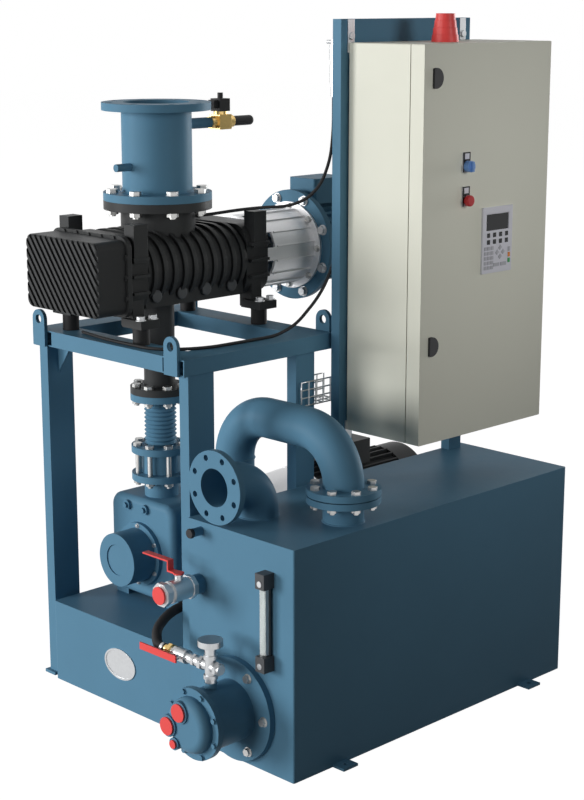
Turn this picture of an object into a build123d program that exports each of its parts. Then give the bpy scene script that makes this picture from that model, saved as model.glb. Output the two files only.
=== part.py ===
from build123d import *
import os
from math import cos, pi, radians, sin

os.makedirs("parts", exist_ok=True)

# Skid-mounted vacuum pumping set: a roots blower on a frame, backed by a liquid ring pump whose
# separator tank carries the control cabinet. Millimetres, +Z up, front faces towards -Y.
# The origin is on the floor, under the vertical axis of the suction flange.

# ---- plinth and separator tank ----
FRONT = -290.0
PLINTH_LEFT = -215.0
PLINTH_WIDTH = 670.0
PLINTH_DEPTH = 1400.0
PLINTH_HEIGHT = 270.0
PLATE_WALL = 6.0
TANK_WIDTH = 445.0
TANK_DEPTH = 1250.0
TANK_HEIGHT = 700.0
TANK_EDGE_RADIUS = 6.0
TANK_LEFT = PLINTH_LEFT + PLINTH_WIDTH
TANK_RIGHT = TANK_LEFT + TANK_WIDTH
FLOOR_TAB_REACH = 45.0
FLOOR_TAB_WIDTH = 60.0
FLOOR_TAB_THICKNESS = 8.0
FLOOR_TAB_HOLE_RADIUS = 7.0
FLOOR_TAB_INSET = 190.0

# ---- support frame ----
FRAME_LEFT = -282.0
FRAME_WIDTH = 730.0
FRAME_DEPTH = 620.0
FRAME_TOP = 1170.0
BEAM_WIDTH = 100.0
BEAM_HEIGHT = 50.0
TUBE_WALL = 4.0
LEG_WIDTH = 40.0
LEG_DEPTH = 100.0
LEG_INSET_X = 6.0
LEG_INSET_Y = 20.0
REAR_LEG_DEPTH = 80.0
REAR_LEG_FROM_BACK = 158.0
FOOT_PLATE_THICKNESS = 10.0
FOOT_PLATE_MARGIN = 12.0
LUG_RADIUS = 30.0
LUG_HOLE_RADIUS = 14.0
LUG_RISE = 36.0
LUG_THICKNESS = 12.0
LUG_INSET = 47.0
GUSSET_SIZE = 70.0
GUSSET_THICKNESS = 8.0
GUSSET_DROP = 98.0
FRAME_RIGHT = FRAME_LEFT + FRAME_WIDTH
FRAME_BACK = FRONT + FRAME_DEPTH
BEAM_BOTTOM = FRAME_TOP - BEAM_HEIGHT

# ---- portal that carries the cabinet ----
POST_WIDTH = 35.0
POST_DEPTH = 60.0
PORTAL_FRONT = 314.0
PORTAL_SPAN = 600.0
PORTAL_TOP = 2130.0
CROSSBAR_HEIGHT = 80.0
PORTAL_RIGHT = TANK_LEFT + POST_WIDTH
PORTAL_BACK = PORTAL_FRONT + PORTAL_SPAN

# ---- control cabinet ----
CABINET_WIDTH = 600.0
CABINET_HEIGHT = 1200.0
CABINET_DEPTH = 300.0
CABINET_FRONT_EDGE = 346.0
CABINET_BOTTOM = 861.0
CABINET_WALL = 3.0
CABINET_LIP = 18.0
EAR_WIDTH = 28.0
EAR_REACH = 38.0
EAR_OVERLAP = 30.0
EAR_INSET = 40.0
EAR_THICKNESS = 4.0
EAR_SCREW_RADIUS = 6.0
DOOR_DEPTH = 52.0
DOOR_GAP = 3.0
DOOR_SKIN = 3.0
HINGE_RADIUS = 6.0
HINGE_PIN_RADIUS = 3.0
HINGE_LENGTH = 50.0
HINGE_INSET = 150.0
RUNNING_CLEARANCE = 0.05
CABINET_BACK_X = PORTAL_RIGHT + 4.0
DOOR_OUTER_X = CABINET_BACK_X + CABINET_DEPTH
DOOR_INNER_X = DOOR_OUTER_X - DOOR_DEPTH
BODY_OUTER_X = DOOR_INNER_X - DOOR_GAP
CABINET_BACK_EDGE = CABINET_FRONT_EDGE + CABINET_WIDTH
CABINET_TOP = CABINET_BOTTOM + CABINET_HEIGHT
HINGE_X = DOOR_INNER_X - DOOR_GAP / 2
HINGE_Y = CABINET_BACK_EDGE + HINGE_RADIUS + 2.0
LATCH_Y = CABINET_FRONT_EDGE + 48.0
LATCH_HEIGHTS = (CABINET_BOTTOM + 303.0, CABINET_TOP - 98.0)
LATCH_RADIUS = 30.0
LATCH_SPINDLE_RADIUS = 8.0
LATCH_PLATE = 7.0
LATCH_CAM_LENGTH = 33.0
LATCH_CAM_WIDTH = 18.0
LATCH_CAM_THICKNESS = 6.0
LATCH_CAM_DEPTH = 16.0
SELECTOR_Y = 542.0
SELECTOR_Z = 1698.0
STOP_Z = 1595.0
BUTTON_RADIUS = 17.0
BUTTON_STEM_RADIUS = 11.0
BUTTON_TRAVEL = 5.0
PANEL_LOW_Y = 623.0
PANEL_WIDTH = 145.0
PANEL_BOTTOM = 1360.0
PANEL_HEIGHT = 205.0
PANEL_THICKNESS = 6.0
BEACON_Y = 611.0
BEACON_RADIUS = 42.0
BEACON_TOP_RADIUS = 31.0
BEACON_HEIGHT = 85.0

# ---- roots blower ----
AXIS_Z = 1378.0
ROTOR_PITCH_RADIUS = 62.0
ROTOR_CLEARANCE = 0.6
CHAMBER_CLEARANCE = 0.5
CHAMBER_FRONT = -182.0
CHAMBER_LENGTH = 405.0
CASING_WALL = 15.0
RIB_HEIGHT = 9.0
RIB_THICKNESS = 14.0
RIB_COUNT = 10
GEAR_PLATE_THICKNESS = 78.0
MOTOR_PLATE_THICKNESS = 94.0
GEAR_COVER_DEPTH = 126.0
GEAR_COVER_WALL = 8.0
COVER_HALF_WIDTH = 175.0
COVER_HALF_HEIGHT = 113.0
COVER_CORNER = 26.0
COVER_GROOVE_DEPTH = 7.0
COVER_GROOVE_WIDTH = 11.0
COVER_GROOVE_PITCH = 21.0
COVER_GROOVE_ANGLE = 37.0
COVER_RIM = 9.0
COVER_RIM_THICKNESS = 16.0
COVER_SCREW_RADIUS = 5.0
PAD_CENTRE = 158.0
PAD_WIDTH = 46.0
PAD_DEPTH = 54.0
PAD_HALF_HEIGHT = 155.0
FOOT_CENTRE = 173.0
FOOT_WIDTH = 90.0
FOOT_DEPTH = 72.0
FOOT_THICKNESS = 26.0
PLATE_RIB = 9.0
PLUG_RADIUS = 20.0
PLUG_REACH = 7.0
PLUG_Z = 1306.0
PLUG_PLACES = (-143.0, -41.0, 59.0, 167.0)
FLANK_HALF_WIDTH = 150.0
FLANK_TOP = 1338.0
SHAFT_RADIUS = 20.0
BEARING_RADIUS = 45.0
BEARING_WIDTH = 25.0
GEAR_TEETH = 31
GEAR_MODULE = 2 * ROTOR_PITCH_RADIUS / GEAR_TEETH
GEAR_WIDTH = 35.0
GEAR_BACKLASH = 0.6
CHAMBER_RADIUS = 1.5 * ROTOR_PITCH_RADIUS
CASING_RADIUS = CHAMBER_RADIUS + CASING_WALL
CHAMBER_BACK = CHAMBER_FRONT + CHAMBER_LENGTH
GEAR_PLATE_FRONT = CHAMBER_FRONT - GEAR_PLATE_THICKNESS
GEAR_COVER_FRONT = GEAR_PLATE_FRONT - GEAR_COVER_DEPTH
MOTOR_PLATE_BACK = CHAMBER_BACK + MOTOR_PLATE_THICKNESS
ROTOR_X = (-ROTOR_PITCH_RADIUS, ROTOR_PITCH_RADIUS)
MOTOR_X = 0.0
TRANSFER_WIDTH = 25.0
TRANSFER_Y = MOTOR_PLATE_BACK + 15.0

# ---- suction flange and pipe, DN200 ----
SUCTION_TOP = 1879.0
SUCTION_FLANGE_RADIUS = 170.0
SUCTION_FLANGE_THICKNESS = 24.0
SUCTION_PIPE_RADIUS = 109.5
SUCTION_BORE_RADIUS = 103.0
SUCTION_PCD = 295.0
SUCTION_HOLE_RADIUS = 11.0
SUCTION_JOINT_HOLE_RADIUS = 12.0
SUCTION_BOLTS = 8
SUCTION_PIPE_LENGTH = 300.0
BLOWER_FLANGE_THICKNESS = 28.0
CASING_INLET_RADIUS = 98.0
SUCTION_JOINT_Z = SUCTION_TOP - SUCTION_PIPE_LENGTH
BLEED_PIPE_RADIUS = 17.0
BLEED_PIPE_REACH = 221.0
BLEED_Z = 1805.0
BLEED_ANGLE = 90.0

# ---- blower drive ----
BELL_LENGTH = 268.0
BELL_RADIUS = 122.0
BELL_WALL = 8.0
BELL_WINDOWS = 8
BELL_WINDOW_WIDTH = 52.0
BELL_WINDOW_LENGTH = 62.0
BELL_RIB_COUNT = 16
BELL_RIB_HEIGHT = 5.0
BELL_RIB_WIDTH = 5.0
BELL_RIM = 24.0
BLOWER_MOTOR_FLANGE_RADIUS = 185.0
BLOWER_MOTOR_FLANGE = 22.0
BLOWER_MOTOR_RADIUS = 118.0
BLOWER_MOTOR_LENGTH = 300.0
BLOWER_FIN_HEIGHT = 18.0
BLOWER_FIN_THICKNESS = 5.0
BLOWER_FIN_COUNT = 28
COWL_LENGTH = 90.0
COWL_WALL = 3.0
FAN_RADIUS = 105.0
FAN_BLADES = 7
MOTOR_SHAFT_RADIUS = 14.0
COUPLING_RADIUS = 45.0
MOTOR_FLANGE_Y = MOTOR_PLATE_BACK + BELL_LENGTH
MOTOR_BODY_Y = MOTOR_FLANGE_Y + BLOWER_MOTOR_FLANGE
COWL_Y = MOTOR_BODY_Y + BLOWER_MOTOR_LENGTH

# ---- line between blower and backing pump, DN80 ----
STACK_Y = -5.0
STACK_FLANGE_RADIUS = 95.0
STACK_PCD = 156.0
STACK_HOLE_RADIUS = 9.0
STACK_BOLTS = 8
STACK_FLANGE_THICKNESS = 22.0
STACK_BORE_RADIUS = 40.0
STACK_TOP_JOINT = 961.0
BELLOWS_LENGTH = 194.0
BELLOWS_RADIUS = 52.0
BELLOWS_ROOT_RADIUS = 45.0
BELLOWS_COUNT = 11
CHECK_BODY_LENGTH = 69.0
CHECK_BODY_RADIUS = 70.0
CHECK_LIFT = 12.0
CHECK_STEM_RADIUS = 6.0
PUMP_NECK_RADIUS = 55.0
BELLOWS_BOTTOM = STACK_TOP_JOINT - BELLOWS_LENGTH
CHECK_BOTTOM = BELLOWS_BOTTOM - CHECK_BODY_LENGTH

# ---- liquid ring backing pump ----
PUMP_AXIS_Z = 450.0
PUMP_FRONT = -95.0
PUMP_LENGTH = 430.0
PUMP_HALF_WIDTH = 155.0
PUMP_TOP = 620.0
PUMP_SHOULDER = 45.0
PUMP_COVER_RADIUS = 87.0
PUMP_COVER_RIM_RADIUS = 104.0
PUMP_COVER_REACH = 103.0
RING_RADIUS = 125.0
IMPELLER_RADIUS = 100.0
IMPELLER_OFFSET = 18.0
IMPELLER_BLADES = 12
IMPELLER_FRONT = -20.0
IMPELLER_LENGTH = 220.0
PUMP_SHAFT_RADIUS = 22.0
PUMP_FOOT_WIDTH = 60.0
PUMP_FOOT_THICKNESS = 20.0
PUMP_BOSS_RADIUS = 16.0
PUMP_BOSS_PLACES = ((-62.0, 590.0), (26.0, 590.0))
PUMP_RIB_WIDTH = 14.0
BACKING_BELL_RADIUS = 168.0
BACKING_BELL_LENGTH = 285.0
BACKING_MOTOR_RADIUS = 138.0
BACKING_MOTOR_LENGTH = 430.0
BACKING_FIN_HEIGHT = 17.0
BACKING_FIN_COUNT = 32
BACKING_COWL_LENGTH = 100.0
PUMP_BACK = PUMP_FRONT + PUMP_LENGTH
BACKING_MOTOR_Y = PUMP_BACK + BACKING_BELL_LENGTH
BACKING_COWL_Y = BACKING_MOTOR_Y + BACKING_MOTOR_LENGTH

# ---- discharge pipe from pump to tank and outlet elbow, DN100 ----
PIPE_RADIUS = 61.0
PIPE_WALL = 4.0
PIPE_BEND = 150.0
OVER_PIPE_Y = 12.0
OVER_PIPE_X = (334.0, 800.0)
OVER_PIPE_Z = 955.0
DN100_FLANGE_RADIUS = 110.0
DN100_FLANGE_THICKNESS = 20.0
DN100_PCD = 180.0
DN100_HOLE_RADIUS = 9.0
DN100_BOLTS = 8
GASKET = 3.0
PUMP_OUTLET_X = 200.0
PUMP_OUTLET_Z = 560.0
OUTLET_X = 583.0
OUTLET_Z = 818.0
OUTLET_FACE_Y = -300.0
OUTLET_BACK_Y = -125.0
OUTLET_BEND = 104.0
TANK_POCKET = 20.0
OVER_FLANGE_TOP = OVER_PIPE_Z - PIPE_BEND - 2.0

# ---- cooler on the tank front ----
COOLER_X = 666.0
COOLER_Z = 165.0
COOLER_PLATE_RADIUS = 157.0
COOLER_PLATE_THICKNESS = 20.0
COOLER_SHELL_RADIUS = 92.0
COOLER_SHELL_LENGTH = 145.0
COOLER_FLANGE_RADIUS = 108.0
COOLER_FLANGE_THICKNESS = 10.0
COOLER_DOME_RADIUS = 84.0
COOLER_DOME_DEPTH = 34.0

# ---- water fittings, drain valve and level gauge ----
TEE_Y = -395.0
TEE_Z = 322.0
FITTING_RADIUS = 17.0
VENT_CAP_RADIUS = 37.0
VENT_CAP_Z = 396.0
WATER_VALVE_X = 545.0
HOSE_TAIL_X = 500.0
HOSE_RADIUS = 15.0
DRAIN_X = 505.0
DRAIN_Z = 508.0
DRAIN_RADIUS = 33.0
DRAIN_REACH = 155.0
DRAIN_STEM_Y = -372.0
DRAIN_STUB = 30.0
PLUG_STUB = 45.0
LEVER_LENGTH = 150.0
LEVER_WIDTH = 22.0
LEVER_THICKNESS = 5.0
GAUGE_X = 802.0
GAUGE_BOTTOM = 323.0
GAUGE_HEIGHT = 294.0
GAUGE_WIDTH = 36.0
GAUGE_DEPTH = 40.0
GAUGE_END = 46.0
GAUGE_TUBE_RADIUS = 9.0
LINE_RADIUS = 5.0

# ---- fasteners ----
BOLT_M16 = 8.0
BOLT_M20 = 10.0
HEAD_FACTOR = 1.6


def block(x, y, z):
    """A box from its low and high corner on each axis."""
    size = (x[1] - x[0], y[1] - y[0], z[1] - z[0])
    return Pos((x[0] + x[1]) / 2, (y[0] + y[1]) / 2, (z[0] + z[1]) / 2) * Box(*size)


def rod_x(x, y, z, radius):
    """A round bar along X between x[0] and x[1]."""
    return Pos((x[0] + x[1]) / 2, y, z) * Rot(0, 90, 0) * Cylinder(radius, x[1] - x[0])


def rod_y(x, y, z, radius):
    """A round bar along Y between y[0] and y[1]."""
    return Pos(x, (y[0] + y[1]) / 2, z) * Rot(-90, 0, 0) * Cylinder(radius, y[1] - y[0])


def rod_z(x, y, z, radius):
    """A round bar along Z between z[0] and z[1]."""
    return Pos(x, y, (z[0] + z[1]) / 2) * Cylinder(radius, z[1] - z[0])


def rounded_y(half_width, half_height, corner, y, x=0.0, z=0.0):
    """A rounded rectangle in XZ drawn along Y."""
    face = RectangleRounded(2 * half_width, 2 * half_height, corner)
    return Pos(x, y[1], z) * Rot(90, 0, 0) * extrude(face, y[1] - y[0])


def slot_y(half_pitch, radius, y, z):
    """A stadium shape in XZ drawn along Y."""
    face = SlotCenterToCenter(2 * half_pitch, 2 * radius)
    return Pos(0, y[1], z) * Rot(90, 0, 0) * extrude(face, y[1] - y[0])


def hollow_bar(x, y, z, along):
    """A rectangular hollow section along one axis."""
    inner = [x, y, z]
    for axis in range(3):
        if axis != along:
            low, high = inner[axis]
            inner[axis] = (low + TUBE_WALL, high - TUBE_WALL)
    return block(x, y, z) - block(*inner)


def pattern_angles(count):
    """Bolt angles that straddle the centre lines."""
    return [360.0 * (index + 0.5) / count for index in range(count)]


def flange(radius, bore, thickness, pcd, count, hole_radius):
    """A drilled plate flange, lower face at Z = 0."""
    body = Pos(0, 0, thickness / 2) * Cylinder(radius, thickness)
    if bore:
        body -= Pos(0, 0, thickness / 2) * Cylinder(bore, thickness)
    for angle in pattern_angles(count):
        hole = Pos(pcd / 2 * cos(radians(angle)), pcd / 2 * sin(radians(angle)), thickness / 2)
        body -= hole * Cylinder(hole_radius, thickness)
    return body


def bolt(radius, grip, tail=6.0):
    """A hexagon bolt with its nut, clamping from Z = 0 up to Z = grip."""
    head_height = radius * 1.3
    head = hexagon_head(radius, head_height)
    nut = Pos(0, 0, -head_height) * head
    shank = Pos(0, 0, -head_height - tail) * extrude(Circle(radius), grip + head_height + tail)
    return Pos(0, 0, grip) * head + nut + shank


def bolt_circle(radius, grip, pcd, count):
    """Bolts on a circle about Z, clamping from Z = 0 to Z = grip."""
    one = bolt(radius, grip)
    places = [(pcd / 2 * cos(radians(a)), pcd / 2 * sin(radians(a))) for a in pattern_angles(count)]
    return [Pos(x, y, 0) * one for x, y in places]


def hexagon_head(radius, height):
    """The hexagon head of a screw, standing on Z = 0."""
    return extrude(RegularPolygon(radius * HEAD_FACTOR, 6, major_radius=False), height)


def plinth():
    body = block((PLINTH_LEFT, TANK_LEFT), (FRONT, FRONT + PLINTH_DEPTH), (0, PLINTH_HEIGHT))
    body = fillet(body.edges().filter_by(Axis.Z).group_by(Axis.X)[0], TANK_EDGE_RADIUS)
    x = (PLINTH_LEFT + PLATE_WALL, TANK_LEFT - PLATE_WALL)
    y = (FRONT + PLATE_WALL, FRONT + PLINTH_DEPTH - PLATE_WALL)
    return body - block(x, y, (PLATE_WALL, PLINTH_HEIGHT - PLATE_WALL))


def floor_tab(y):
    """A drilled tab that holds the tank to the floor."""
    low, high = y - FLOOR_TAB_WIDTH / 2, y + FLOOR_TAB_WIDTH / 2
    tab = block((TANK_RIGHT, TANK_RIGHT + FLOOR_TAB_REACH), (low, high), (0, FLOOR_TAB_THICKNESS))
    centre = TANK_RIGHT + FLOOR_TAB_REACH / 2
    return tab - rod_z(centre, y, (0, FLOOR_TAB_THICKNESS), FLOOR_TAB_HOLE_RADIUS)


def tank_inlet():
    """Flanged neck on the tank top that takes the pipe from the pump."""
    x, y = OVER_PIPE_X[1], OVER_PIPE_Y
    joint = OVER_FLANGE_TOP - DN100_FLANGE_THICKNESS - GASKET
    base = joint - DN100_FLANGE_THICKNESS
    ring = flange(DN100_FLANGE_RADIUS, 0, DN100_FLANGE_THICKNESS, DN100_PCD, DN100_BOLTS, DN100_HOLE_RADIUS)
    neck = rod_z(x, y, (TANK_HEIGHT, base), PIPE_RADIUS) + Pos(x, y, base) * ring
    return neck - rod_z(x, y, (TANK_HEIGHT, joint), PIPE_RADIUS - PIPE_WALL)


def separator_tank():
    """Welded box vessel with its neck, drain stub and plug, and two tabs on the floor."""
    depth = (FRONT, FRONT + TANK_DEPTH)
    body = block((TANK_LEFT, TANK_RIGHT), depth, (0, TANK_HEIGHT))
    body = fillet(body.edges().filter_by(Axis.Z).group_by(Axis.X)[-1], TANK_EDGE_RADIUS)
    x = (TANK_LEFT + PLATE_WALL, TANK_RIGHT - PLATE_WALL)
    y = (depth[0] + PLATE_WALL, depth[1] - PLATE_WALL)
    body -= block(x, y, (PLATE_WALL, TANK_HEIGHT - PLATE_WALL))
    bore = PIPE_RADIUS - PIPE_WALL
    for x, y in ((OVER_PIPE_X[1], OVER_PIPE_Y), (OUTLET_X, OUTLET_BACK_Y)):
        body -= rod_z(x, y, (TANK_HEIGHT - TANK_POCKET, TANK_HEIGHT), bore)
    tabs = [floor_tab(y) for y in (FRONT + FLOOR_TAB_INSET, FRONT + TANK_DEPTH - FLOOR_TAB_INSET)]
    stub = rod_y(DRAIN_X, (FRONT - DRAIN_STUB, FRONT), DRAIN_Z, DRAIN_RADIUS * 0.9)
    plug = rod_y(DRAIN_X + 8, (FRONT - PLUG_STUB, FRONT), TANK_HEIGHT - 28, 13.0)
    return [body, tank_inlet(), stub, plug] + tabs


def leg(left, front, depth, base):
    """One hollow post up to the underside of the beams."""
    return hollow_bar((left, left + LEG_WIDTH), (front, front + depth), (base, BEAM_BOTTOM), 2)


def frame_legs():
    """Four posts; the left pair stands on the floor, the right pair on the plinth."""
    left = FRAME_LEFT + LEG_INSET_X
    right = FRAME_RIGHT - LEG_INSET_X - LEG_WIDTH
    front = FRONT + LEG_INSET_Y
    back = FRAME_BACK - REAR_LEG_FROM_BACK
    legs = []
    for x, floor in ((left, 0.0), (right, PLINTH_HEIGHT)):
        for y, depth in ((front, LEG_DEPTH), (back, REAR_LEG_DEPTH)):
            base = floor + FOOT_PLATE_THICKNESS
            margin = FOOT_PLATE_MARGIN if floor == 0.0 else 0.0
            plate = block(
                (x - margin, x + LEG_WIDTH),
                (y - margin, y + depth + margin),
                (floor, base),
            )
            legs.append(plate + leg(x, y, depth, base))
    return legs


def frame_beams():
    """Two side beams and two cross beams, butted together."""
    height = (BEAM_BOTTOM, FRAME_TOP)
    inner = (FRAME_LEFT + BEAM_WIDTH, FRAME_RIGHT - BEAM_WIDTH)
    sides = [
        hollow_bar((FRAME_LEFT, inner[0]), (FRONT, FRAME_BACK), height, 1),
        hollow_bar((inner[1], FRAME_RIGHT), (FRONT, FRAME_BACK), height, 1),
    ]
    crosses = [
        hollow_bar(inner, (FRONT, FRONT + BEAM_WIDTH), height, 0),
        hollow_bar(inner, (FRAME_BACK - BEAM_WIDTH, FRAME_BACK), height, 0),
    ]
    return sides + crosses


def lug(x, y):
    """A lifting eye: a plate with a rounded head and a hole."""
    head_z = FRAME_TOP + LUG_RISE
    plate = block((x - LUG_RADIUS, x + LUG_RADIUS), (y, y + LUG_THICKNESS), (BEAM_BOTTOM, head_z))
    plate += rod_y(x, (y, y + LUG_THICKNESS), head_z, LUG_RADIUS)
    return plate - rod_y(x, (y, y + LUG_THICKNESS), head_z, LUG_HOLE_RADIUS)


def lifting_lugs():
    places = (FRAME_LEFT + LUG_INSET, FRAME_RIGHT - LUG_INSET)
    rows = (FRONT - LUG_THICKNESS, FRAME_BACK)
    return [lug(x, y) for x in places for y in rows]


def frame_gussets():
    """Triangles that brace each front leg against its beam."""
    left = FRAME_LEFT + LEG_INSET_X + LEG_WIDTH
    right = FRAME_RIGHT - LEG_INSET_X - LEG_WIDTH
    y = FRONT + LEG_INSET_Y + LEG_DEPTH / 2
    gussets = []
    for x, way in ((left, 1), (right, -1)):
        corners = (
            (x, BEAM_BOTTOM),
            (x + way * GUSSET_SIZE, BEAM_BOTTOM),
            (x, BEAM_BOTTOM - GUSSET_DROP),
        )
        plate = extrude(make_face(Polyline(*corners, close=True)), GUSSET_THICKNESS)
        gussets.append(Pos(0, y, 0) * Rot(90, 0, 0) * plate)
    return gussets


def portal():
    """Two posts on the tank and a crossbar between their heads."""
    x = (TANK_LEFT, PORTAL_RIGHT)
    posts = [
        hollow_bar(x, (PORTAL_FRONT, PORTAL_FRONT + POST_DEPTH), (TANK_HEIGHT, PORTAL_TOP), 2),
        hollow_bar(x, (PORTAL_BACK - POST_DEPTH, PORTAL_BACK), (TANK_HEIGHT, PORTAL_TOP), 2),
    ]
    span = (PORTAL_FRONT + POST_DEPTH, PORTAL_BACK - POST_DEPTH)
    return posts + [hollow_bar(x, span, (PORTAL_TOP - CROSSBAR_HEIGHT, PORTAL_TOP), 1)]


def cabinet_brackets():
    """Four ears that bolt the cabinet to the portal."""
    ears = []
    x = (PORTAL_RIGHT, PORTAL_RIGHT + EAR_THICKNESS)
    half = EAR_WIDTH / 2
    for y in (PORTAL_FRONT + EAR_INSET, PORTAL_BACK - EAR_INSET):
        ears.append(block(x, (y - half, y + half), (CABINET_TOP - EAR_OVERLAP, CABINET_TOP + EAR_REACH + 30)))
        ears.append(block(x, (y - half, y + half), (CABINET_BOTTOM - EAR_REACH - 30, CABINET_BOTTOM + EAR_OVERLAP)))
        screw = hexagon_head(EAR_SCREW_RADIUS, EAR_SCREW_RADIUS)
        ears.append(Pos(x[1], y, CABINET_TOP + EAR_REACH / 2) * Rot(0, 90, 0) * screw)
    return ears


def cabinet_body():
    """Folded sheet cabinet with a lip frame round its opening and two hinge pins."""
    x = (CABINET_BACK_X, BODY_OUTER_X)
    y = (CABINET_FRONT_EDGE, CABINET_BACK_EDGE)
    z = (CABINET_BOTTOM, CABINET_TOP)
    shell = block(x, y, z)
    shell = fillet(shell.edges().filter_by(Axis.X), 4.0)
    wall = CABINET_WALL
    inner_y = (y[0] + wall, y[1] - wall)
    inner_z = (z[0] + wall, z[1] - wall)
    shell -= block((x[0] + wall, x[1]), inner_y, inner_z)
    for base in hinge_bases():
        shell += rod_z(HINGE_X, HINGE_Y, (base, base + HINGE_LENGTH / 2), HINGE_RADIUS)
        shell += block((HINGE_X - HINGE_RADIUS, HINGE_X), (y[1] - 1, HINGE_Y), (base, base + HINGE_LENGTH / 2))
        shell += rod_z(HINGE_X, HINGE_Y, (base, base + HINGE_LENGTH - 4), HINGE_PIN_RADIUS)
    edge = (x[1] - wall, x[1])
    lip = CABINET_LIP
    strips = [
        block(edge, (inner_y[0], inner_y[0] + lip), inner_z),
        block(edge, (inner_y[1] - lip, inner_y[1]), inner_z),
        block(edge, (inner_y[0] + lip, inner_y[1] - lip), (inner_z[0], inner_z[0] + lip)),
        block(edge, (inner_y[0] + lip, inner_y[1] - lip), (inner_z[1] - lip, inner_z[1])),
    ]
    return [shell] + strips


def hinge_bases():
    return (CABINET_BOTTOM + HINGE_INSET, CABINET_TOP - HINGE_INSET - HINGE_LENGTH)


def cabinet_door():
    x = (DOOR_INNER_X, DOOR_OUTER_X)
    y = (CABINET_FRONT_EDGE, CABINET_BACK_EDGE)
    z = (CABINET_BOTTOM, CABINET_TOP)
    door = block(x, y, z)
    door = fillet(door.edges().filter_by(Axis.X), 4.0)
    skin = DOOR_SKIN
    door -= block((x[0], x[1] - skin), (y[0] + skin, y[1] - skin), (z[0] + skin, z[1] - skin))
    for base in hinge_bases():
        span = (base + HINGE_LENGTH / 2 + 0.3, base + HINGE_LENGTH)
        knuckle = rod_z(HINGE_X, HINGE_Y, span, HINGE_RADIUS)
        knuckle += block((DOOR_INNER_X, DOOR_INNER_X + HINGE_RADIUS), (y[1] - 1, HINGE_Y), span)
        knuckle += block((HINGE_X, DOOR_INNER_X + HINGE_RADIUS), (HINGE_Y - 2, HINGE_Y + 2), span)
        door += knuckle - rod_z(HINGE_X, HINGE_Y, span, HINGE_PIN_RADIUS + RUNNING_CLEARANCE)
    for latch_z in LATCH_HEIGHTS:
        hole = LATCH_SPINDLE_RADIUS + RUNNING_CLEARANCE
        door -= rod_x((x[0], x[1]), LATCH_Y, latch_z, hole)
    for button_z in (SELECTOR_Z, STOP_Z):
        door -= rod_x((x[0], x[1]), SELECTOR_Y, button_z, BUTTON_STEM_RADIUS + RUNNING_CLEARANCE)
    return door


def operator_panel():
    """Panel plate with a display window and keypad, and the legend plates by the buttons."""
    x = (DOOR_OUTER_X, DOOR_OUTER_X + PANEL_THICKNESS)
    top = PANEL_BOTTOM + PANEL_HEIGHT
    plate = block(x, (PANEL_LOW_Y, PANEL_LOW_Y + PANEL_WIDTH), (PANEL_BOTTOM, top))
    window = (PANEL_LOW_Y + 18, PANEL_LOW_Y + PANEL_WIDTH - 18)
    plate -= block((x[1] - 2, x[1]), window, (top - 75, top - 20))
    pieces = [plate]
    for button_z in (SELECTOR_Z, STOP_Z):
        frame = block((x[0], x[0] + 3), (SELECTOR_Y - 16, SELECTOR_Y + 16), (button_z - 18, button_z + 42))
        pieces.append(frame - rod_x((x[0], x[0] + 3), SELECTOR_Y, button_z, BUTTON_STEM_RADIUS + 0.3))
    return pieces


def door_latch(z):
    """Half-round grip on a spindle with its locking cam inside the door."""
    x0 = DOOR_OUTER_X
    grip = rod_x((x0 + 0.3, x0 + 0.3 + LATCH_PLATE), LATCH_Y, z, LATCH_RADIUS)
    grip -= block((x0, x0 + 2 * LATCH_PLATE), (LATCH_Y - 2 * LATCH_RADIUS, LATCH_Y - 10), (z - 40, z + 40))
    back = BODY_OUTER_X - LATCH_CAM_DEPTH
    spindle = rod_x((back, x0 + 0.3), LATCH_Y, z, LATCH_SPINDLE_RADIUS)
    half = LATCH_CAM_WIDTH / 2
    side = (LATCH_Y - half, LATCH_Y + half)
    cam = block((back, back + LATCH_CAM_THICKNESS), side, (z - half, z + LATCH_CAM_LENGTH))
    return grip + spindle + cam


def selector_knob():
    stem = rod_x((DOOR_INNER_X + 4, DOOR_OUTER_X + 8), SELECTOR_Y, SELECTOR_Z, BUTTON_STEM_RADIUS)
    head = rod_x((DOOR_OUTER_X + 6, DOOR_OUTER_X + 24), SELECTOR_Y, SELECTOR_Z, BUTTON_RADIUS)
    span = (DOOR_OUTER_X + 24, DOOR_OUTER_X + 32)
    grip = block(span, (SELECTOR_Y - 4, SELECTOR_Y + 4), (SELECTOR_Z - 15, SELECTOR_Z + 15))
    return stem + head + grip


def stop_button():
    stem = rod_x((DOOR_INNER_X + 10, DOOR_OUTER_X + 12), SELECTOR_Y, STOP_Z, BUTTON_STEM_RADIUS)
    head = rod_x((DOOR_OUTER_X + 12, DOOR_OUTER_X + 26), SELECTOR_Y, STOP_Z, BUTTON_RADIUS)
    return stem + fillet(head.edges().group_by(Axis.X)[-1], 5.0)


def mounting_plate():
    x = CABINET_BACK_X + CABINET_WALL + 12
    y = (CABINET_FRONT_EDGE + 45, CABINET_BACK_EDGE - 45)
    z = (CABINET_BOTTOM + 60, CABINET_TOP - 60)
    plate = block((x, x + 3), y, z)
    for stud_y in (y[0] + 15, y[1] - 15):
        for stud_z in (z[0] + 15, z[1] - 15):
            plate += rod_x((CABINET_BACK_X + CABINET_WALL, x), stud_y, stud_z, 6.0)
    return plate


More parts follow.
